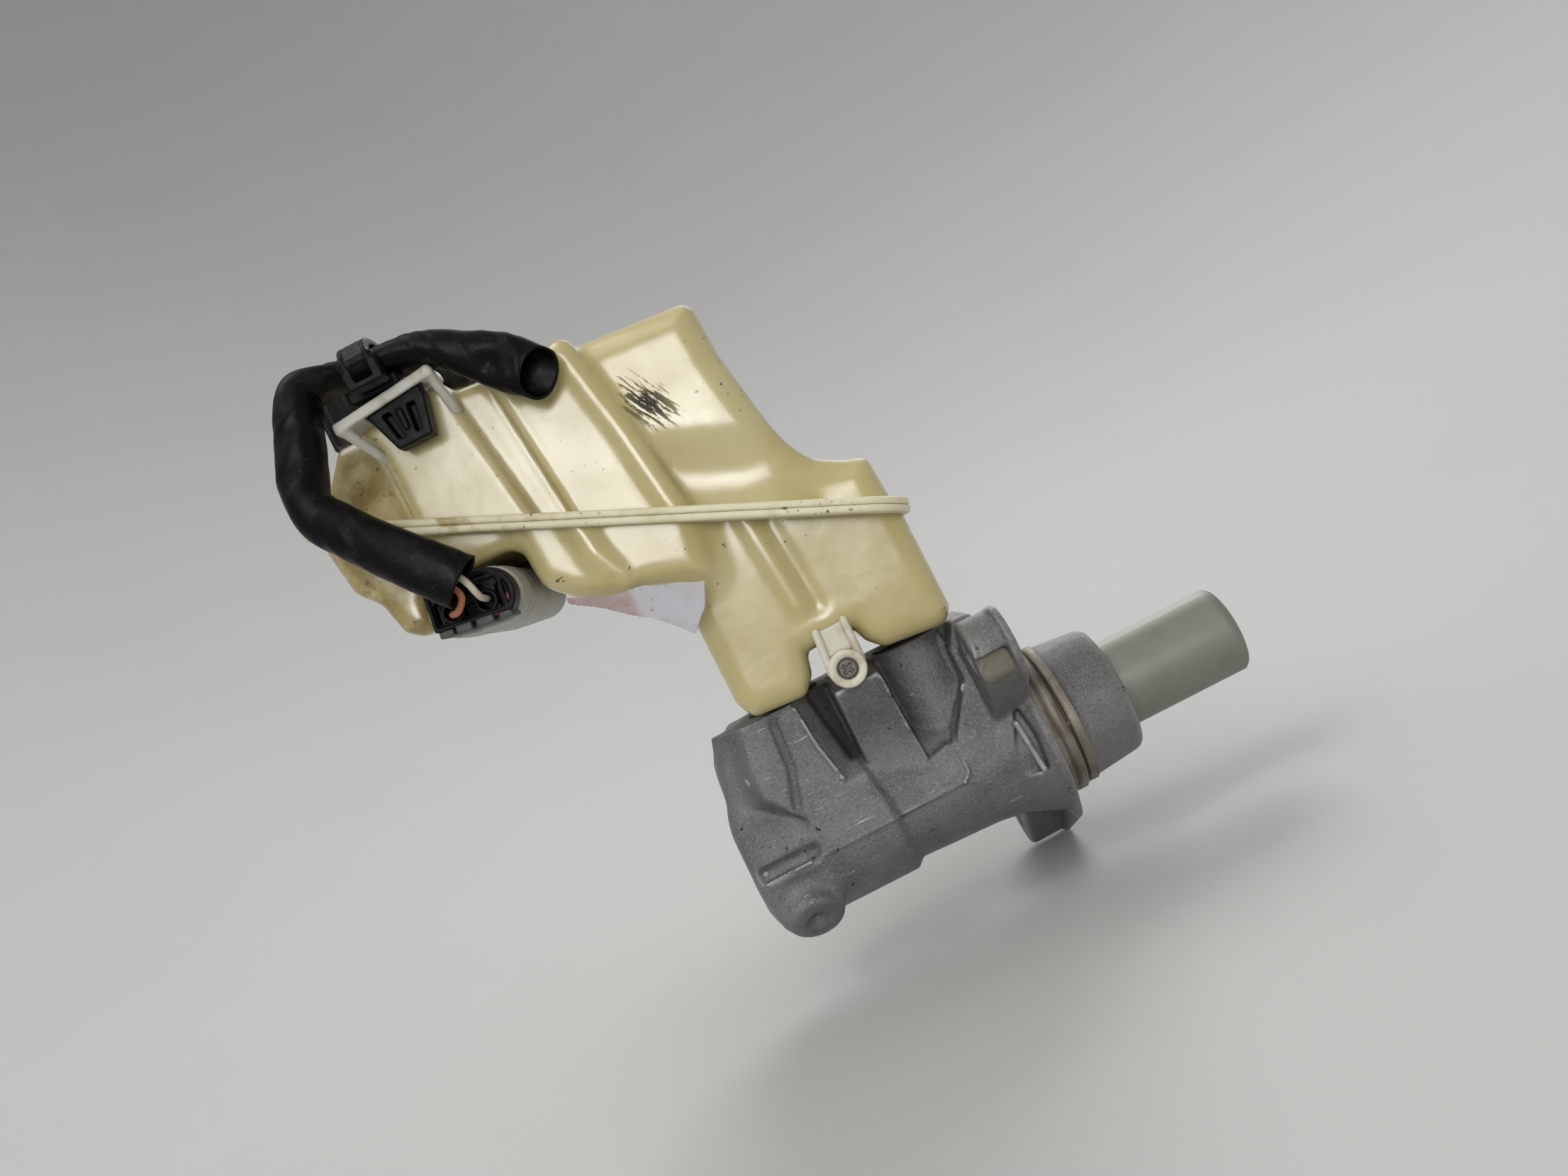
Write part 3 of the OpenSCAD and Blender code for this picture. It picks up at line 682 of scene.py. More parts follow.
def soften(field, passes):
    """Each pass averages a point with its neighbours, which rounds every edge and crease."""
    for _ in range(passes):
        for axis in range(3):
            padded = np.pad(field, [(1, 1) if i == axis else (0, 0) for i in range(3)], "edge")
            parts = [np.take(padded, range(k, k + field.shape[axis]), axis) for k in range(3)]
            field = parts[0] / 4 + parts[1] / 2 + parts[2] / 4
    return field


def field_piece(name, grid, field, material):
    points, quads = grid.skin(field)
    return make_mesh(name, points, quads.tolist(), material)


# ---- Casting ----


def flange_link(g, a, ra, b, rb):
    """Two circles in the (y, z) plane joined by their tangents."""
    a, b = np.array(a, float), np.array(b, float)
    line = b - a
    along = np.clip(((g.y - a[0]) * line[0] + (g.z - a[1]) * line[1]) / (line @ line), 0, 1)
    away = np.sqrt((g.y - a[0] - along * line[0]) ** 2 + (g.z - a[1] - along * line[1]) ** 2)
    return away - (ra + (rb - ra) * along)


def casting_barrel(g):
    """A turned shape: its radius at each of a few places along the bore."""
    places = [BARREL_END, -82.5, -79, -44.6, -42.4, -34, -20, -12, -7, -3]
    radii = [16.4, 18.4, 19.4, 19.4, 17.3, 17.7, 18.2, 19.4, 21.6, 23.2]
    radius = np.interp(g.x, places, radii).astype(np.float32)
    away = (np.sqrt(g.y**2 + g.z**2) - radius) * 0.92
    return rounded(away, between(g.x, BARREL_END, 0), 2)


def casting_flange(g):
    """A thin plate with two ears, and a thicker block behind each ear."""
    plate = np.sqrt(g.y**2 + g.z**2) - 24.3
    y, z = EAR
    for side in (1, -1):
        plate = join(plate, flange_link(g, (2 * side, 14 * side), 12.5, (y * side, z * side), 10), 2)
    flange = rounded(plate, between(g.x, -2.2, 0), 0.5)
    upper = flange_link(g, (-12, 14), 7.8, (y, z), 8.9) - 0.03 * (-g.x)
    lower = flange_link(g, (12, -14), 7.8, (-y, -z), 8.8) - 0.03 * (-g.x)
    upper = rounded(upper, between(g.x, -10.8, -0.4), 1.5)
    facet = cuboid(g, (-20, -2.4), (-60, -37.2), (14, 27.5), 0.4)
    flange = join(flange, cut(upper, facet, 0.4), 0.5)
    return join(flange, rounded(lower, between(g.x, -12.5, -0.4), 1.5), 0.5)


# Outlines of the casting's near side in x and z, counter-clockwise
WALL = [
    (-66, -1), (-23.6, -1), (-22.3, 0.8), (-22.3, 8.7), (-25, 9.2), (-30.2, 7.7), (-44.3, 12.6),
    (-51.2, 12.2), (-54.9, 37), (-69, 37), (-71.7, 25.3), (-71.5, 17.9), (-66.3, 11.2), (-64.2, 8.8),
]
MIDDLE = [(-44.4, 10), (-30.2, 5), (-31.1, 21), (-31.8, 34.5), (-43.8, 34.5)]
REAR = [(-22.3, 2), (-4, 2), (-4, 36.5), (-9.5, 36.5), (-13, 30), (-13, 21.9), (-21.6, 9.5)]
RECESS = [(-4.6, 11.5), (-12.8, -6), (-4.2, -7.4), (-3.4, 2)]


def casting_wall(g):
    """The near side: a stepped wall, a block that slopes out to the lug, and two deep slots."""
    front = -19.3 + 1.7 * np.clip((g.x + 44.4 + 0.13 * g.z) / 1.8, 0, 1)
    deep = np.maximum(g.y - front, 0)
    slope = np.minimum(deep, 3.4) * np.exp(-(((g.x + 49) / 6) ** 4)) * np.clip((g.z - 9) / 4, 0, 1)
    taper = 0.12 + 0.5 / (1 + np.exp((g.x + 66) / 1.5))
    flat = outline(g.x, g.z, WALL) - taper * deep - slope
    whole = rounded(flat * 0.8, np.maximum(front - g.y, g.y + 4), 0.6)
    rise = np.clip((g.z - 12) / 24, 0, 1)
    front = -17.7 - 10.6 * rise * rise * (1.6 - 0.6 * rise)
    middle = outline(g.x, g.z, MIDDLE) - 0.05 * np.maximum(g.y - front, 0)
    whole = join(whole, rounded(middle, np.maximum((front - g.y) * 0.85, g.y - 8), 0.8), 0.8)
    for box in (
        ((-69, -9.5), (-5, 12), (0, 27)),
        ((-68.5, -56), (-10, 18.6), (2, 36.3)),
        ((-21, -9.7), (-10, 18.6), (2, 36.3)),
    ):
        whole = join(whole, cuboid(g, *box, 1), 1.2)
    block = [(-69, 0), (-9.5, 0), (-9.5, 36.5), (-69, 36.5)]
    whole = join(whole, side_view(g, block, 3, 18.6, 2, 1.2), 1.2)
    return join(whole, side_view(g, REAR, -18.4, 10, 0.5, 1), 1.5)


def casting_end(g):
    """The closed end, which leans back towards its top, with a block low on the near side."""
    profile = [
        (-69, 37.4), (-74, 37), (-80, 29.5), (-82.8, 16), (-83.8, 3), (-83.8, -9), (-81, -12),
        (-62, -12), (-62, 20),
    ]
    end = side_view(g, profile, -12, 14, 0.5, 3.5)
    lower = cuboid(g, (-82.3, -64.5), (-18.2, -4), (-15, -0.5), 2)
    return join(end, lower, 2.5)


def work_rod(g, field, a, b, r, k, dig=False):
    """Joins a round-ended rod to a field, or digs it out, working only on the points near it."""
    a, b = np.array(a, float), np.array(b, float)
    low = np.floor((np.minimum(a, b) - r - k - 1 - g.low) / g.step).astype(int).clip(0)
    high = np.ceil((np.maximum(a, b) + r + k + 1 - g.low) / g.step).astype(int)
    i, j, n = (slice(*pair) for pair in zip(low, high))
    near = Points(g.x[i], g.y[:, j], g.z[:, :, n])
    field[i, j, n] = (cut if dig else join)(field[i, j, n], capsule(near, a, b, r), k)


def surface_y(g, field, x, z):
    """Where the near side of a field is, at one x and z."""
    i, k = int(round((x - g.low[0]) / g.step)), int(round((z - g.low[2]) / g.step))
    return g.low[1] + g.step * (np.flatnonzero(field[i, :, k] < 0)[0] - 0.5)


def bead(g, field, path, r, k=0.4, dig=False):
    """A fine raised line, or a scored one, laid on the near side along a path of x and z."""
    dense = densify(path, 1.2)
    spots = [(x, surface_y(g, field, x, z), z) for x, z in dense]
    for a, b in zip(spots, spots[1:]):
        if abs(a[1] - b[1]) < 1.5:
            work_rod(g, field, a, b, r, k, dig)


# Raised lines on the near side: a path in x and z, and a radius
BEADS = [
    ([(-80.5, -1.4), (-66, -1.2), (-24.5, -1.2), (-22.6, 0.6), (-22.4, 8.4), (-21, 12),
      (-13.8, 20.5)], 0.4),
    ([(-54.6, 35), (-53.7, 24.1), (-51.4, 13)], 0.5),
    ([(-31.9, 33), (-31.4, 21.2), (-30.6, 8.5)], 0.5),
    ([(-13.2, 34), (-13, 21.9), (-22, 9.2)], 0.6),
]


def thin_out(piece):
    """Collapses short edges until a piece is within the limit on triangles."""
    count = sum(len(face.vertices) - 2 for face in piece.data.polygons)
    piece.modifiers.new("thin", "DECIMATE").ratio = min(1, MOST_TRIANGLES / count)
    graph = bpy.context.evaluated_depsgraph_get()
    mesh = bpy.data.meshes.new_from_object(piece.evaluated_get(graph))
    piece.modifiers.clear()
    piece.data = mesh
    return piece


def make_casting(material):
    """The casting outside its spigot: bodies joined, then lines and holes cut."""
    g = Grid((-86, -43, -41), (3, 43, 42), 0.52)
    body = join(casting_barrel(g), casting_wall(g), 1.0)
    body = join(body, casting_end(g), 3)
    for x in SOCKET_X:
        body = join(body, rod_z(g, 0, SADDLE_TOP, 13, x, edge=0.6), 1.0)
    for port in (FRONT_PORT, REAR_PORT):
        body = join(body, boss(g, port, 0, port.seat + 14, PORT_R, 0.6), 2.5)
    c, s = math.cos(BLIND_ANGLE), math.sin(BLIND_ANGLE)
    along, across = -g.y * c - g.z * s, g.z * c - g.y * s
    away = np.sqrt((g.x - BLIND_X) ** 2 + across**2)
    blind = rounded(away - 8.9 + 0.05 * along, between(along, 0, BLIND_REACH), 2.2)
    body = join(body, blind, 1.4)
    body = join(body, lug_rod(g, -28.3, -12, 4.4, 0.5), 1.5)
    body = join(body, casting_flange(g), 1.4)
    radius = np.sqrt(g.y**2 + g.z**2)
    recess = side_view(g, RECESS, -40, -14, 0.7, 0.7)
    body = cut(body, np.maximum(recess, 19.7 - radius), 0.8)
    body = np.array(soften(body, 1), np.float32)
    work_rod(g, body, (-79.5, -18.4, -1.8), (-66.5, -18.4, -2.2), 1.5, 1)
    work_rod(g, body, (-80, -19.8, 0.8), (-66.5, -20.4, 0.9), 2.3, 0.8, dig=True)
    work_rod(g, body, (-6.6, -20.6, 6.5), (-5.6, -21.4, -6.6), 0.8, 0.8)
    for path, r in BEADS:
        bead(g, body, path, r)
    bead(g, body, [(-65.5, 11.5), (-62, 22), (-61, 35)], 0.5, k=1.5, dig=True)
    bead(g, body, [(-8.5, 31), (-11.2, 24), (-11, 18)], 0.35, dig=True)
    dimple = away - 3.7 + 1.2 * np.clip(23.9 - along, 0, 6)
    body = cut(body, np.maximum(dimple * 0.7, 20 - along), 0.5)
    by_lug = (np.abs(g.x - LUG_X) < 7) & (g.y < -10)
    body = np.maximum(body, g.z - np.where(by_lug, 60, SADDLE_TOP))
    for x in SOCKET_X:
        body = cut(body, rod_z(g, 25, 50, 10, x), 0.3)
    for port in (FRONT_PORT, REAR_PORT):
        body = cut(body, boss(g, port, port.seat, 50, PORT_HOLE_R, 0), 0.4)
    body = cut(body, lug_rod(g, -35, -14, 1.9), 0.3)
    body = cut(body, rod_x(g, -76, 10, 12.4), 0.3)
    for side in (1, -1):
        body = cut(body, rod_x(g, -20, 5, BOLT_HOLE_R, EAR[0] * side, EAR[1] * side), 0.4)
    body = np.maximum(body, g.x)
    return thin_out(field_piece("casting", g, body, material))


def make_spigot(cast, machined):
    """The spigot: a machined pilot land with two grooves, then an as-cast taper with a round nose."""
    land = [(20.3, -1.5), (20.3, 1.5), (20.05, 1.7), (20.05, 2.1), (20.3, 2.3), (20.3, 4.5),
            (20.0, 4.8), (18.9, 4.9), (18.9, 5.6), (19.3, 5.7), (19.5, 5.9), (19.5, 8.1)]
    nose = [(19.5, 8.1), (19.1, 8.4), (18.8, 9), (17.55, 20.6), (17.2, 21.7), (16.6, 22.4),
            (15.8, 22.7), (12.9, 22.7), (12.4, 22.4), (12.4, 20.4), (14.2, 20.4), (14.2, 19),
            (12.0, 19), (12.0, -1)]
    pieces = []
    for name, profile, material in (("pilot_land", land, machined), ("spigot_nose", nose, cast)):
        points = lathe_points(densify(profile, 0.8), 160, "x")
        rings = len(points) // 160
        pieces.append(make_mesh(name, points, ring_faces(rings, 160), material))
    return pieces


# ---- Reservoir ----


def seam_height(g):
    """How far a point is above the weld seam."""
    return (g.x - SEAM_X) * math.sin(SEAM_TILT) + (g.z - SEAM_Z) * math.cos(SEAM_TILT)


# Outlines of the tank's parts in x and z, counter-clockwise
TALL = [(-72, 60), (-28, 50), (-27.5, 98), (-31.3, 121), (-31.9, 136.3), (-72, 139.8)]
BACK = [(-116, 96), (-53.5, 74), (-57.5, 96), (-62.2, 126), (-64, 139), (-116, 143.5)]
STEP = [
    (-78, 80), (-53.5, 74), (-57.5, 96), (-62.2, 126), (-64, 139), (-83, 140.6), (-82.6, 136),
    (-79.2, 106),
]
RIGHT = [
    (-42, 50), (-8.6, 50), (-10.4, 82.6), (-16.5, 84.8), (-22, 88), (-26.5, 93.5), (-32, 98),
    (-42, 100),
]
TOWER = [
    (-113.7, 96), (-86, 85), (-88.1, 107), (-92.6, 137), (-92.8, 143.8), (-117, 143.8), (-113.5, 134),
]
CORNER = [(-138, 105), (-106, 100), (-106, 144), (-126, 144), (-136.4, 131)]
LEG = [
    (-66.5, 130), (-66.5, 43), (-64, 38), (-50, 37), (-46.5, 41), (-45, 46.5), (-32.4, 46.5),
    (-31, 42.5), (-27.5, 39), (-11.5, 37.2), (-8.5, 40.5), (-8.6, 100), (-30, 130),
]
BELLY = [
    (-97, 130), (-95, 90), (-88.5, 83.6), (-82, 80), (-73.5, 78.6), (-57, 74), (-53.5, 90),
    (-56, 120),
]
FAR_LEFT = [
    (-140, 140), (-137.3, 118), (-136, 109), (-131.5, 103.5), (-129.5, 95), (-125.5, 92), (-95, 92),
    (-90, 130),
]


def make_reservoir_upper(material):
    """The tank above its seam: a tall part, a low right part, and a stepped left part with a neck."""
    g = Grid((-143, -43, 62), (-3, 43, 162), 0.8)
    tank = side_view(g, TALL, -34.4, 36, 3.5, 7)
    tank = join(tank, side_view(g, RIGHT, -33, 33, 2, 6), 5)
    valley = chain(g, [(-56, -45, 99), (-40, -45, 92), (-22, -45, 89)], 11.8)
    tank = cut(tank, valley, 6)
    tank = join(tank, side_view(g, BACK, -35, 36, 2.5, 2.5), 2)
    tank = join(tank, side_view(g, STEP, -36.9, 30, 2, 2.2), 2)
    route = [(-64.6, -34.6, 137.5), (-60.5, -34.8, 115.9), (-57.8, -34.8, 95), (-55.5, -34.6, 84)]
    ridge = chain(g, route, 3)
    tank = join(tank, ridge, 2.5)
    edge = chain(g, [(-82.2, -35.4, 137), (-78.9, -35.4, 106), (-77, -35.4, 88)], 1.7)
    tank = join(tank, edge, 1.2)
    tank = cut(tank, chain(g, [(-84.4, -35.6, 141), (-81, -35.6, 106), (-79.3, -35.6, 88)], 1.1), 0.8)
    tank = join(tank, side_view(g, CORNER, -26, 34, 3, 3.5), 2.5)
    tank = join(tank, side_view(g, TOWER, -38, 34, 1.2, 1.6), 1.2)
    tank = soften(tank, 1)
    tank = np.maximum(tank, -tank - TANK_WALL)
    tank = join(tank, rod_z(g, 141.4, NECK_TOP, NECK_R, NECK_X, edge=0.3), 1.5)
    for z in (150, 154):
        tank = join(tank, rod_z(g, z, z + 1.6, NECK_R + 1, NECK_X, edge=0.3), 0.6)
    tank = np.maximum(tank, -seam_height(g) + 0.3)
    tank = cut(tank, rod_z(g, 135, 170, NECK_BORE_R, NECK_X), 0.3)
    return thin_out(field_piece("reservoir_top_half", g, tank, material))


def make_reservoir_lower(material):
    """The tank below its seam: the leg over both sockets, the belly, and the far left part."""
    g = Grid((-143, -43, 24), (-3, 43, 132), 0.8)
    tank = side_view(g, LEG, -30.2, 30, 2.2, 5.5)
    tank = join(tank, side_view(g, BELLY, -36, 36, 2.2, 5), 7)
    tank = join(tank, side_view(g, FAR_LEFT, -34, 34, 2, 4), 3)
    ridge = chain(g, [(-80.5, -34.6, 101), (-79, -34.6, 90.3), (-76, -33.4, 82.6)], 2.6)
    tank = join(tank, ridge, 3)
    groove = chain(g, [(-39.8, -32.4, 86), (-37.8, -32.2, 56)], 2.6)
    tank = cut(tank, groove, 2)
    beside = chain(g, [(-44.2, -28.6, 84), (-42, -28.6, 58)], 2.4)
    tank = join(tank, beside, 2.2)
    tunnel = cuboid(g, (SENSOR_X - 13, SENSOR_X + 13), (-60, 14), (60, 101.5), 4)
    tank = cut(tank, tunnel, 3)
    tank = soften(tank, 1)
    tank = np.maximum(tank, -tank - TANK_WALL)
    for x in SOCKET_X:
        tank = join(tank, rod_z(g, 26, 41, 6.4, x), 1)
    tank = np.maximum(tank, seam_height(g) + 0.3)
    for x in SOCKET_X:
        tank = cut(tank, rod_z(g, 20, 48, 4.2, x), 0.3)
    return thin_out(field_piece("reservoir_bottom_half", g, tank, material))


def make_weld_seam(name, up, material):
    """One half's weld rim: a rounded band that runs round the tank in the seam's plane."""
    corner, wide = 12, 14
    path = []
    centres = [(-corner, SEAM_HALF_Y - corner, 0), (corner - SEAM_LENGTH, SEAM_HALF_Y - corner, 90),
               (corner - SEAM_LENGTH, corner - SEAM_HALF_Y, 180), (-corner, corner - SEAM_HALF_Y, 270)]
    for u, y, start in centres:
        for k in range(13):
            a = math.radians(start + 90 * k / 12)
            path.append((u + corner * math.cos(a), y + corner * math.sin(a), math.cos(a), math.sin(a)))
    dense = densify([*path, path[0]], 2)[:-1]
    rng = np.random.default_rng(4 + up)
    waves = np.cumsum(rng.normal(0, 0.05, len(dense)))
    waves -= np.linspace(0, waves[-1], len(dense))
    waves = np.clip(waves, -0.3, 0.3)
    across = [(-wide, 0.02), (-0.5, 0.02), (-0.12, 0.15), (0, 0.5), (0, 1.3), (-0.15, 1.65),
              (-0.5, 1.8), (-wide, 1.8)]
    points, c, s = [], math.cos(SEAM_TILT), math.sin(SEAM_TILT)
    for out, height in across:
        for (u, y, nu, ny), wave in zip(dense, waves):
            shift = out - 0.15 + 0.4 * wave
            u1, y1, h = u + nu * shift, y + ny * shift, up * height
            points.append((SEAM_X + u1 * c + h * s, y1, SEAM_Z - u1 * s + h * c))
    faces = ring_faces(len(across), len(dense), closed=True)
    return make_mesh(name, points, [face[::up] for face in faces], material)


def make_lug(material):
    """The fixing lug: an eye with a raised ring, a thin web and two rails up to the tank."""
    g = Grid((-46, -34.5, 32), (-30, -26, 56), 0.26)
    eye = lug_rod(g, -31.3, -28.5, 4.7, 0.4)
    web = cuboid(g, (LUG_X - 3.9, LUG_X + 4.4), (-29.8, -28.5), (LUG_Z, 50), 0.3)
    lug = join(eye, web, 0.4)
    for foot_x, top_x in ((-42.2, -41.2), (-33.9, -33.7)):
        lug = join(lug, capsule(g, (foot_x, -30, 39.5), (top_x, -30.2, 50), 0.95), 0.5)
    away = np.sqrt((g.x - LUG_X) ** 2 + (g.z - LUG_Z) ** 2)
    lug = join(lug, slab(g, np.abs(away - 3.9) - 0.75, -31.6, -30, 0.3), 0.3)
    lug = cut(lug, slab(g, away - 2.7, -40, -29.9, 0), 0.3)
    lug = cut(lug, lug_rod(g, -34, -20, 1.9, 0), 0.2)
    return field_piece("reservoir_lug", g, lug, material)


def make_shelf(material):
    """The bracket that the harness clip plugs into: a window frame on two slim arms."""
    g = Grid((-120, -50, 129), (-89, -34, 149), 0.3)
    u = (g.x + 105) * 0.9938 + (g.z - 143.6) * 0.11
    v = (g.z - 143.4) * 0.9938 - (g.x + 105) * 0.11
    flat = slab(g, between(u, -13.2, 12.6), -47.6, -36, 0.8)
    shelf = rounded(flat, between(v, -1.3, 1.2), 0.5)
    for arm in (
        [(-116.8, -46.4, 141.4), (-113.2, -37, 133.4)],
        [(-93.2, -46.4, 144.4), (-93, -37, 136)],
    ):
        shelf = join(shelf, chain(g, arm, 1.25), 1.2)
    shelf = cut(shelf, cuboid(g, (-111.2, -95.8), (-46, -40), (138, 150), 0.4), 0.4)
    return field_piece("harness_shelf", g, shelf, material)


# ---- Filler cap ----


def make_cap(material):
    """The screw cap: a ribbed skirt, a stepped top and a hollow for the neck."""
    segments, ribs = 288, 24
    profile = [
        (19.0, 147.7, 0), (21.0, 147.6, 0), (21.5, 148, 0.4), (21.6, 148.8, 1), (21.55, 160.4, 1),
        (21.3, 161.4, 0.7), (20.6, 162.1, 0.2), (19.8, 162.5, 0), (17.2, 162.5, 0), (16.7, 162.3, 0),
        (16.4, 161.8, 0), (4.2, 161.8, 0), (3.8, 162.1, 0), (3.4, 162.2, 0), (0.05, 162.2, 0),
        (0.05, 160.4, 0), (19.0, 160.4, 0),
    ]
    profile = densify([*profile, profile[0]], 1)[:-1]
    points = []
    for radius, z, rib in profile:
        for k in range(segments):
            a = 2 * math.pi * k / segments
            bump = 0.85 * rib * max(0.0, math.cos(ribs * a)) ** 0.7
            points.append(((radius + bump) * math.cos(a) + NECK_X, (radius + bump) * math.sin(a), z))
    return make_mesh("filler_cap_ribbed", points, ring_faces(len(profile), segments, True), material)


# ---- Sleeve ----

SLEEVE_ROUTE = [
    (-105.5, -57, 96.5), (-111, -57, 103), (-117, -56, 110), (-123, -55, 117.5), (-127, -54.5, 123),
    (-128.5, -54, 128), (-127.5, -53, 134), (-125, -52, 141), (-123, -51, 147), (-120.5, -48.5, 151.5),
    (-116, -46, 153), (-111, -44.5, 152.8), (-106, -44, 152.3), (-100.5, -44, 151.6),
    (-95, -44, 150.8), (-91, -44, 149.6), (-87, -44.5, 147.2), (-83, -45, 144), (-79, -45.5, 140.8),
    (-75.5, -46, 137.6), (-70.5, -46, 132.6),
]
# Half width across and half depth along y at each point of the route
SLEEVE_HALF = [
    (6.4, 4.6), (6.3, 4.9), (5.9, 5.4), (5.7, 5.6), (5.6, 5.4), (4.8, 6.2), (5.4, 5.7), (5.2, 5.9),
    (4.9, 6.4), (4.5, 7.6), (3.2, 7.9), (3.0, 7.8), (2.8, 7.8), (3.2, 7.7), (3.8, 7.4), (4.1, 7.0),
    (4.6, 6.5), (5.4, 5.6), (6.3, 4.8), (6.7, 4.6), (6.1, 4.5),
]
# Creases: ring, reach in rings, depth, angle round the sleeve, and reach in that angle
SLEEVE_CREASES = [(50, 3, 0.9, 0.3, 0.6), (183, 6, 1.6, 4.4, 0.5)]


def make_sleeve(material):
    """A soft tube that is open at both ends, creased where it turns and flat under the clip."""
    steps, around, thick = 10, 56, 0.7
    path, half = smooth_path(SLEEVE_ROUTE, steps), smooth_path(SLEEVE_HALF, steps)
    phases = np.random.default_rng(11).uniform(0, 2 * math.pi, (6, 2))
    last = len(path) - 1
    points, faces = [], []
    for inner in (0, thick):
        for i, (centre, along, (w, t)) in enumerate(zip(path, directions(path), half)):
            across = np.cross(along, (0, 1, 0))
            across /= np.linalg.norm(across)
            deep = np.cross(across, along)
            for k in range(around):
                a = 2 * math.pi * k / around
                fold = sum(math.sin(n * a + 0.16 * (n - 1) * i + p) * 0.05 * math.cos(0.11 * i + q)
                           for n, (p, q) in enumerate(phases, 2))
                for at, reach, depth, side, width in SLEEVE_CREASES:
                    fold -= depth * math.exp(-(((i - at) / reach) ** 2) - ((a - side) / width) ** 2)
                c, s = math.cos(a), math.sin(a)
                flat = (abs(c) ** 2.4 + abs(s) ** 2.4) ** (-1 / 2.4)
                point = centre + across * (c * flat * (w + fold - inner))
                point = point + deep * (s * flat * (t + fold - inner))
                if last - i < 8:
                    point = point + along * (0.75 * s * t * (1 - (last - i) / 8))
                points.append(point)
    shell = len(points) // 2
    for a, b, c, d in ring_faces(len(path), around):
        faces += [(a, d, c, b), (a + shell, b + shell, c + shell, d + shell)]
    for start, turn in ((0, 1), (last * around, -1)):
        for k in range(around):
            a, b = start + k, start + (k + 1) % around
            faces.append((a, b, b + shell, a + shell)[::turn])
    sleeve = make_mesh("harness_sleeve", points, faces, material)
    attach(sleeve, HOUSING)
    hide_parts("protective_sleeve")


# ---- Plungers, springs, sensor, connector and clip ----


def make_plunger(material):
    """The push plunger: a tube with a web across it, hollow from both ends."""
    profile = densify([
        (8.2, 18), (0.05, 18), (0.05, 13), (8.5, 13), (8.5, -16.6), (8.9, -17), (11.5, -17),
        (11.9, -16.4), (11.9, 56.3), (11.3, 57), (9.0, 57), (8.5, 56.2), (8.5, 18.2),
    ], 2)
    points = lathe_points(profile, 128, "x")
    return make_mesh("push_plunger_tube", points, ring_faces(len(profile), 128, True), material)


def make_spring(name, low, high, material):
    """A coil spring round the bore's axis, from low to high along x."""
    turns, per_turn, wire, coil = 7, 48, 1.1, 6.6
    length = high - low - 2 * wire
    share = np.linspace(0, 1, turns * per_turn + 1)
    angle = 2 * math.pi * turns * share
    none = np.zeros_like(angle)
    out = np.stack((none, np.cos(angle), np.sin(angle)), 1)
    pitch = length / (turns * 2 * math.pi)
    along = np.stack((none + pitch, -coil * np.sin(angle), coil * np.cos(angle)), 1)
    along /= math.hypot(pitch, coil)
    path = coil * out
    path[:, 0] = low + wire + length * share
    return sweep_rod(name, path, along, out, wire, material)


def sensor_coordinates(g):
    """A grid's points in the sensor pocket's own tilted axes, across and up."""
    c, s = math.cos(SENSOR_TILT), math.sin(SENSOR_TILT)
    dx, dz = g.x - SENSOR_X, g.z - SENSOR_Z
    return dx * c - dz * s, dx * s + dz * c


def stadium(u, v, width, height):
    """A flat shape with round ends."""
    return np.sqrt(np.maximum(np.abs(u) - (width - height) / 2, 0) ** 2 + v**2) - height / 2


def make_sensor_housing(material):
    """The pocket under the tank that the connector plugs into, with a post for the switch."""
    g = Grid((-122, -43.5, 83), (-95, 15, 103), 0.42)
    u, v = sensor_coordinates(g)
    body = slab(g, stadium(u, v, 23, 14), -42, 13.8, 0.8)
    body = join(body, cuboid(g, (-111, -106), (-20, 9.8), (93, 101.3), 0.4), 0.8)
    for y in (-34, -28):
        body = join(body, slab(g, stadium(u, v, 23.4, 14.4), y, y + 1.2, 0.3), 0.3)
    body = cut(body, slab(g, stadium(u, v, 20.6, 11.6), -50, -20, 0), 0.3)
    return field_piece("sensor_housing", g, body, material)


WHITE_WIRE = [
    (-104.5, -46, 92), (-104.5, -48, 92), (-104.5, -50, 92.1), (-104.5, -52, 92.4),
    (-104.4, -54.8, 93.6), (-104.6, -56, 95.2), (-105.45, -56.6, 97.5), (-107.5, -57, 100),
]
BROWN_WIRE = [
    (-112.5, -46, 92), (-112.5, -48, 92), (-112.3, -50, 91.9), (-111.8, -52, 91.6),
    (-109.8, -55, 91.4), (-107.9, -56, 92.8), (-107.3, -56.4, 94.6), (-108.6, -57, 98),
]


def make_wire(name, points, material):
    path = smooth_path(points, 10)
    along = directions(path)
    across = np.cross(along, (1, 0, 0))
    across /= np.linalg.norm(across, axis=1)[:, None]
    return sweep_rod(name, path, along, across, WIRE_R, material)


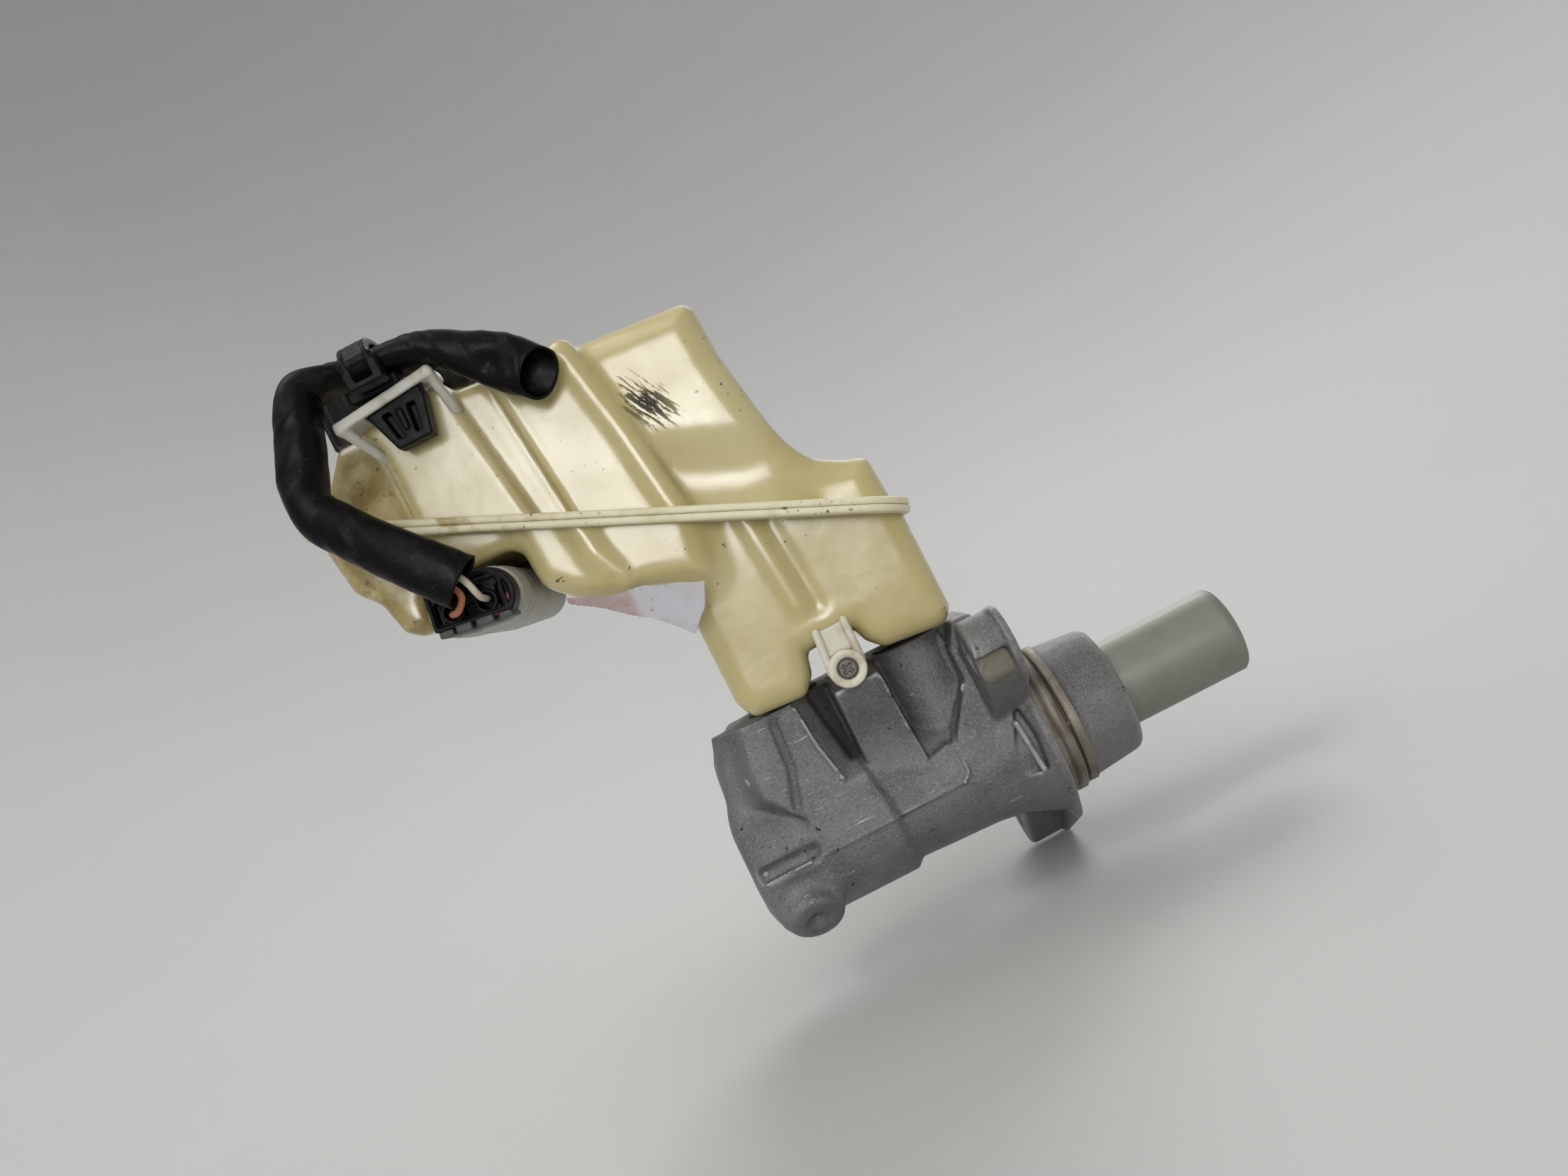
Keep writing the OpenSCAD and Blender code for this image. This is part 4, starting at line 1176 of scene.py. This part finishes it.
def make_connector(black, red, grey):
    """The plug: a face with wire holes under a thick shroud, its lock blocks and a few red lips."""
    g = Grid((-121.5, -50.5, 83), (-95.5, -23, 103), 0.27)
    u, v = sensor_coordinates(g)
    plug = slab(g, stadium(u, v, 18.6, 9), -45, -24, 0.4)
    face = prism(u, v, g.y, [(-9.4, -4.6), (9.2, -4.9), (9.5, 3.6), (7.2, 5.2), (-9.2, 4.9)],
                 -47.6, -44, 1.0, 0.4)
    plug = join(plug, face, 0.3)
    rim = np.abs(stadium(u, v, 20.6, 11.6)) - 0.8
    rim = slab(g, rim, -48.6, -43.2, 0.5)
    rim = np.maximum(rim, -(v * 0.85 + u * 0.53 - 0.5))
    plug = join(plug, rim, 0.4)
    wall = np.abs(outline(u, v, [(-8.8, -4), (8.2, -4), (8.2, 4.2), (-8.8, 4.2)])) - 0.45
    plug = join(plug, slab(g, wall, -48.8, -46, 0.2), 0.2)
    for at, high in ((4, -1), (-4, -1)):
        ring = np.abs(np.sqrt((u - at) ** 2 + (v - high) ** 2) - 2.3) - 0.4
        plug = join(plug, slab(g, ring, -48.4, -46, 0.2), 0.2)
        hole = np.sqrt((u - at) ** 2 + (v - high) ** 2) - 1.9
        plug = cut(plug, slab(g, hole, -52, -43, 0), 0.2)
    for low, high, bottom, top in (
        (-1.5, 1.5, -3, -0.4), (-7.9, -6.7, -3, 2), (6.7, 7.9, -3, 2), (-4, 4, 2.2, 3.2),
    ):
        slot = [(low, bottom), (high, bottom), (high, top), (low, top)]
        plug = cut(plug, prism(u, v, g.y, slot, -52, -45.6, 0.2, 0.1), 0.15)
    body = field_piece("connector_body", g, plug, black)
    lock = None
    for low, high, bottom, top, out in (
        (-8.6, -5.2, -6.1, -4.4, -48.4), (-4.4, -0.6, -6.3, -4.2, -49.2), (0.4, 4.6, -6.3, -4.2, -49.2),
        (5.6, 8.8, -6.1, -4.4, -48.4), (-8.8, 9, -6.0, -5.0, -46),
    ):
        block = [(low, bottom), (high, bottom), (high, top), (low, top)]
        block = prism(u, v, g.y, block, out, -40, 0.3, 0.3)
        lock = block if lock is None else join(lock, block, 0.2)
    blocks = field_piece("connector_lock_blocks", g, lock, grey)
    ring = slab(g, np.abs(stadium(u, v, 20.4, 11.4) + 0.9) - 0.9, -44.4, -42.2, 0.3)
    lips = slab(g, stadium(u - 8.9, v + 2.2, 1.8, 4.6), -47.9, -42.4, 0.3)
    low_lip = slab(g, stadium(v + 4.4, u - 5, 1, 3.4), -48, -42.4, 0.2)
    ring = np.minimum(np.minimum(ring, lips), low_lip)
    return body, field_piece("connector_red_seal", g, ring, red), blocks


def make_clip(material):
    """The harness clip: a wedge under the shelf, a saddle on it and a strap round the sleeve."""
    g = Grid((-114, -48.5, 130), (-94, -37.5, 149), 0.3)
    foot = [(-98.6, 131.7), (-96.2, 141.6), (-110.8, 141.6), (-107.3, 131.7)]
    clip = side_view(g, foot, -45.6, -40.3, 0.5, 0.6)
    for slot in ([(-107.4, 140.4), (-106.2, 134), (-104.6, 133.6), (-105.4, 140.4)],
                 [(-101.2, 140.4), (-101.8, 133.6), (-100.3, 134), (-99.2, 140.4)]):
        clip = cut(clip, side_view(g, slot, -47, -42.6, 0.2, 0.1), 0.3)
    lip = [(-103.9, 140), (-103.7, 135), (-102.6, 135), (-102.4, 140)]
    lip = side_view(g, lip, -46.6, -45, 0.2, 0.3)
    clip = join(clip, lip, 0.3)
    clip = join(clip, cuboid(g, (-110.4, -96.6), (-45.6, -40.3), (141, 145.3), 0.4), 0.3)
    clip = join(clip, cuboid(g, (-112.4, -99.6), (-47, -39.6), (145.1, 148.4), 0.7), 0.5)
    base = field_piece("clip_base", g, clip, material)
    g = Grid((-110.5, -56.5, 143), (-99, -33.5, 160), 0.27)
    away = np.sqrt(((g.y - STRAP_Y) / 9.5) ** 2 + ((g.z - STRAP_Z - 0.6) / 4.9) ** 2) - 1
    band = rounded(np.abs(away * 5.6) - 0.7, between(g.x, STRAP_X - 3.3, STRAP_X + 3.3), 0.3)
    for x in (-2.9, 2.9):
        rib = between(g.x, STRAP_X + x - 0.5, STRAP_X + x + 0.5)
        band = join(band, rounded(np.abs(away * 5.6) - 1.05, rib, 0.3), 0.2)
    buckle = cuboid(g, (STRAP_X - 4.3, STRAP_X + 4.3), (-54.9, -49.6), (145.6, 152.6), 0.5)
    buckle = cut(buckle, cuboid(g, (STRAP_X - 2.1, STRAP_X + 2.2), (-60, -50.6), (147, 151), 0.3), 0.3)
    tab = cuboid(g, (STRAP_X - 2.6, STRAP_X + 2.8), (-51.6, -48.8), (151, 156.6), 1.2)
    strap = join(join(band, buckle, 0.6), tab, 0.6)
    return base, field_piece("clip_band", g, strap, material)


def make_screw(material):
    """The screw sits at the bottom of the eye, with a cross in its head."""
    g = Grid((LUG_X - 3, -32, LUG_Z - 3), (LUG_X + 3, -26, LUG_Z + 3), 0.12)
    head = lug_rod(g, -31.2, -29.9, 2.35, 0.4)
    screw = join(head, lug_rod(g, -32, -15, 1.6, 0) + 2 * (g.y < -30), 0.2)
    u, v = (g.x - LUG_X) * 0.8 + (g.z - LUG_Z) * 0.6, (g.z - LUG_Z) * 0.8 - (g.x - LUG_X) * 0.6
    bars = [rounded(between(a, -1.5, 1.5), between(b, -0.38, 0.38), 0.1) for a, b in ((u, v), (v, u))]
    cross = slab(g, np.minimum(*bars), -36, -30.6, 0)
    screw = cut(screw, cross, 0.12)
    return field_piece("fixing_screw", g, screw, material)


def make_label(material):
    """A torn paper label that has come loose, with its left end folded over to its back."""
    corners = [(-90, 85), (-90.5, 83), (-83, 77.5), (-74, 70.5), (-66.5, 62.5), (-61.5, 67),
               (-57.9, 73.6), (-62, 75), (-72, 79.2), (-80, 80.8)]
    g = Grid((-92, -43, 60), (-56, -34, 87), 0.25)
    flat = outline(g.x, g.z, corners)
    tear = 0.16 * np.sin(0.9 * g.x + 0.5 * g.z) + 0.07 * np.sin(3.7 * g.x - 2.1 * g.z)
    lift = np.clip((80.5 - g.z - 0.18 * (g.x + 70)) / 14, 0, 1.3)
    curl = -37.4 - 1.6 * lift**2 - 0.5 * np.sin(0.33 * g.x + 0.2 * g.z)
    sheet = rounded(flat + 0.4 + tear, (np.abs(g.y - curl) - 0.17) * 0.95, 0)
    return field_piece("torn_label", g, sheet, material)


def add(piece, slot, *nodes, body=HOUSING):
    """Fixes a piece to a body and hides the CAD nodes that it replaces; the slot is not used."""
    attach(piece, body)
    if nodes:
        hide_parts(*nodes)


def build_housing():
    """The casting and the reservoir."""
    cast, plastic, pale = cast_material(), reservoir_material(), white_plastic_material()
    add(make_casting(cast), "cast_aluminium", "cylinder_body")
    for piece in make_spigot(cast, machined_material()):
        add(piece, "cast_aluminium")
    add(make_reservoir_upper(plastic), "reservoir_plastic", "reservoir_upper")
    add(make_reservoir_lower(plastic), "reservoir_plastic", "reservoir_lower")
    rim = seam_material()
    for name, up in (("weld_rim_top", 1), ("weld_rim_bottom", -1)):
        add(make_weld_seam(name, up, rim), "reservoir_plastic")
    add(make_lug(pale), "reservoir_plastic")
    shelf = white_plastic_material("shelf_plastic", (0.6, 0.59, 0.52), 0.75)
    add(make_shelf(shelf), "reservoir_plastic")


def build_moving(black):
    """The cap, the push plunger and the two springs."""
    add(make_cap(black), "cap_plastic", "filler_cap", body="cap")
    plunger = make_plunger(plunger_material())
    add(plunger, "plunger_alloy", "primary_piston", body="push_plunger")
    steel = steel_material("spring_steel", (0.2, 0.2, 0.21))
    for name, body, joint, low, high, keep in (
        ("primary_spring", "floating_plunger", "primary_slide", -33.9, 11.9, 0.64),
        ("secondary_spring", HOUSING, "secondary_slide", -75.9, -42.1, 0.5),
    ):
        coil = make_spring(name + "_coil", low, high, steel)
        add(coil, "spring_steel", name, body=body)
        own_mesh(coil)


def build_sensor(black):
    """The level sensor's pocket, its plug and the plug's wires."""
    grey = plain_material("sensor_plastic", (0.4, 0.395, 0.36), 0.5, 0.5)
    add(make_sensor_housing(grey), "sensor_plastic", "level_sensor_housing")
    red = plain_material("seal_red", (0.2, 0.012, 0.012), 0.45)
    lock = plain_material("lock_grey", (0.055, 0.055, 0.058))
    plug, seal, blocks = make_connector(black, red, lock)
    add(plug, "connector_plastic", "connector_plug")
    add(blocks, "connector_plastic", "connector_lock")
    add(seal, "seal_red", "connector_seal")
    for name, node, route, colour in (
        ("ivory_wire", "wire_white", WHITE_WIRE, (0.6, 0.55, 0.42)),
        ("copper_wire", "wire_brown", BROWN_WIRE, (0.36, 0.13, 0.06)),
    ):
        add(make_wire(name, route, plain_material(name, colour, 0.45)), node, node)


def build_fittings(black):
    """The harness clip, the reservoir's screw and the label."""
    base, band = make_clip(black)
    add(base, "clip_plastic", "harness_clip")
    add(band, "clip_plastic", "clip_strap")
    screw = steel_material("screw_steel", (0.16, 0.15, 0.13), 0.45)
    add(make_screw(screw), "screw_steel", "retaining_screw")
    add(make_label(paper_material()), "label_paper", "paper_label")


def paint_kept():
    """Materials for the CAD nodes that are shown as they are."""
    rubber = black_material("seal_rubber", (0.015, 0.015, 0.015), 0.5, 0.1)
    plated = steel_material("plated_steel", (0.55, 0.54, 0.5))
    kept = {
        rubber: ("rear_feed_seal", "rear_pressure_seal", "front_feed_seal", "front_pressure_seal",
                 "rear_grommet", "front_grommet", "cap_seal"),
        plated: ("spring_cup", "spring_stem", "retaining_ring"),
        machined_material("bare_alloy", (0.42, 0.41, 0.38)): ("secondary_piston",),
        plain_material("guide_plastic", (0.5, 0.46, 0.36)): ("guide_ring",),
        plain_material("strainer_plastic", (0.6, 0.58, 0.5)): ("filler_strainer",),
        plain_material("float_foam", (0.42, 0.2, 0.06), 0.8, 0.3, 2.5): ("level_float",),
        plain_material("switch_glass", (0.5, 0.62, 0.58), 0.1): ("reed_switch",),
    }
    for material, nodes in kept.items():
        for node in nodes:
            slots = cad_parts[node].data.materials
            slots.clear()
            slots.append(material)


make_camera()
make_sleeve(sleeve_material())
black = black_material("black_plastic")
build_housing()
build_moving(black)
build_sensor(black)
build_fittings(black)
paint_kept()
make_stage()
make_lights()
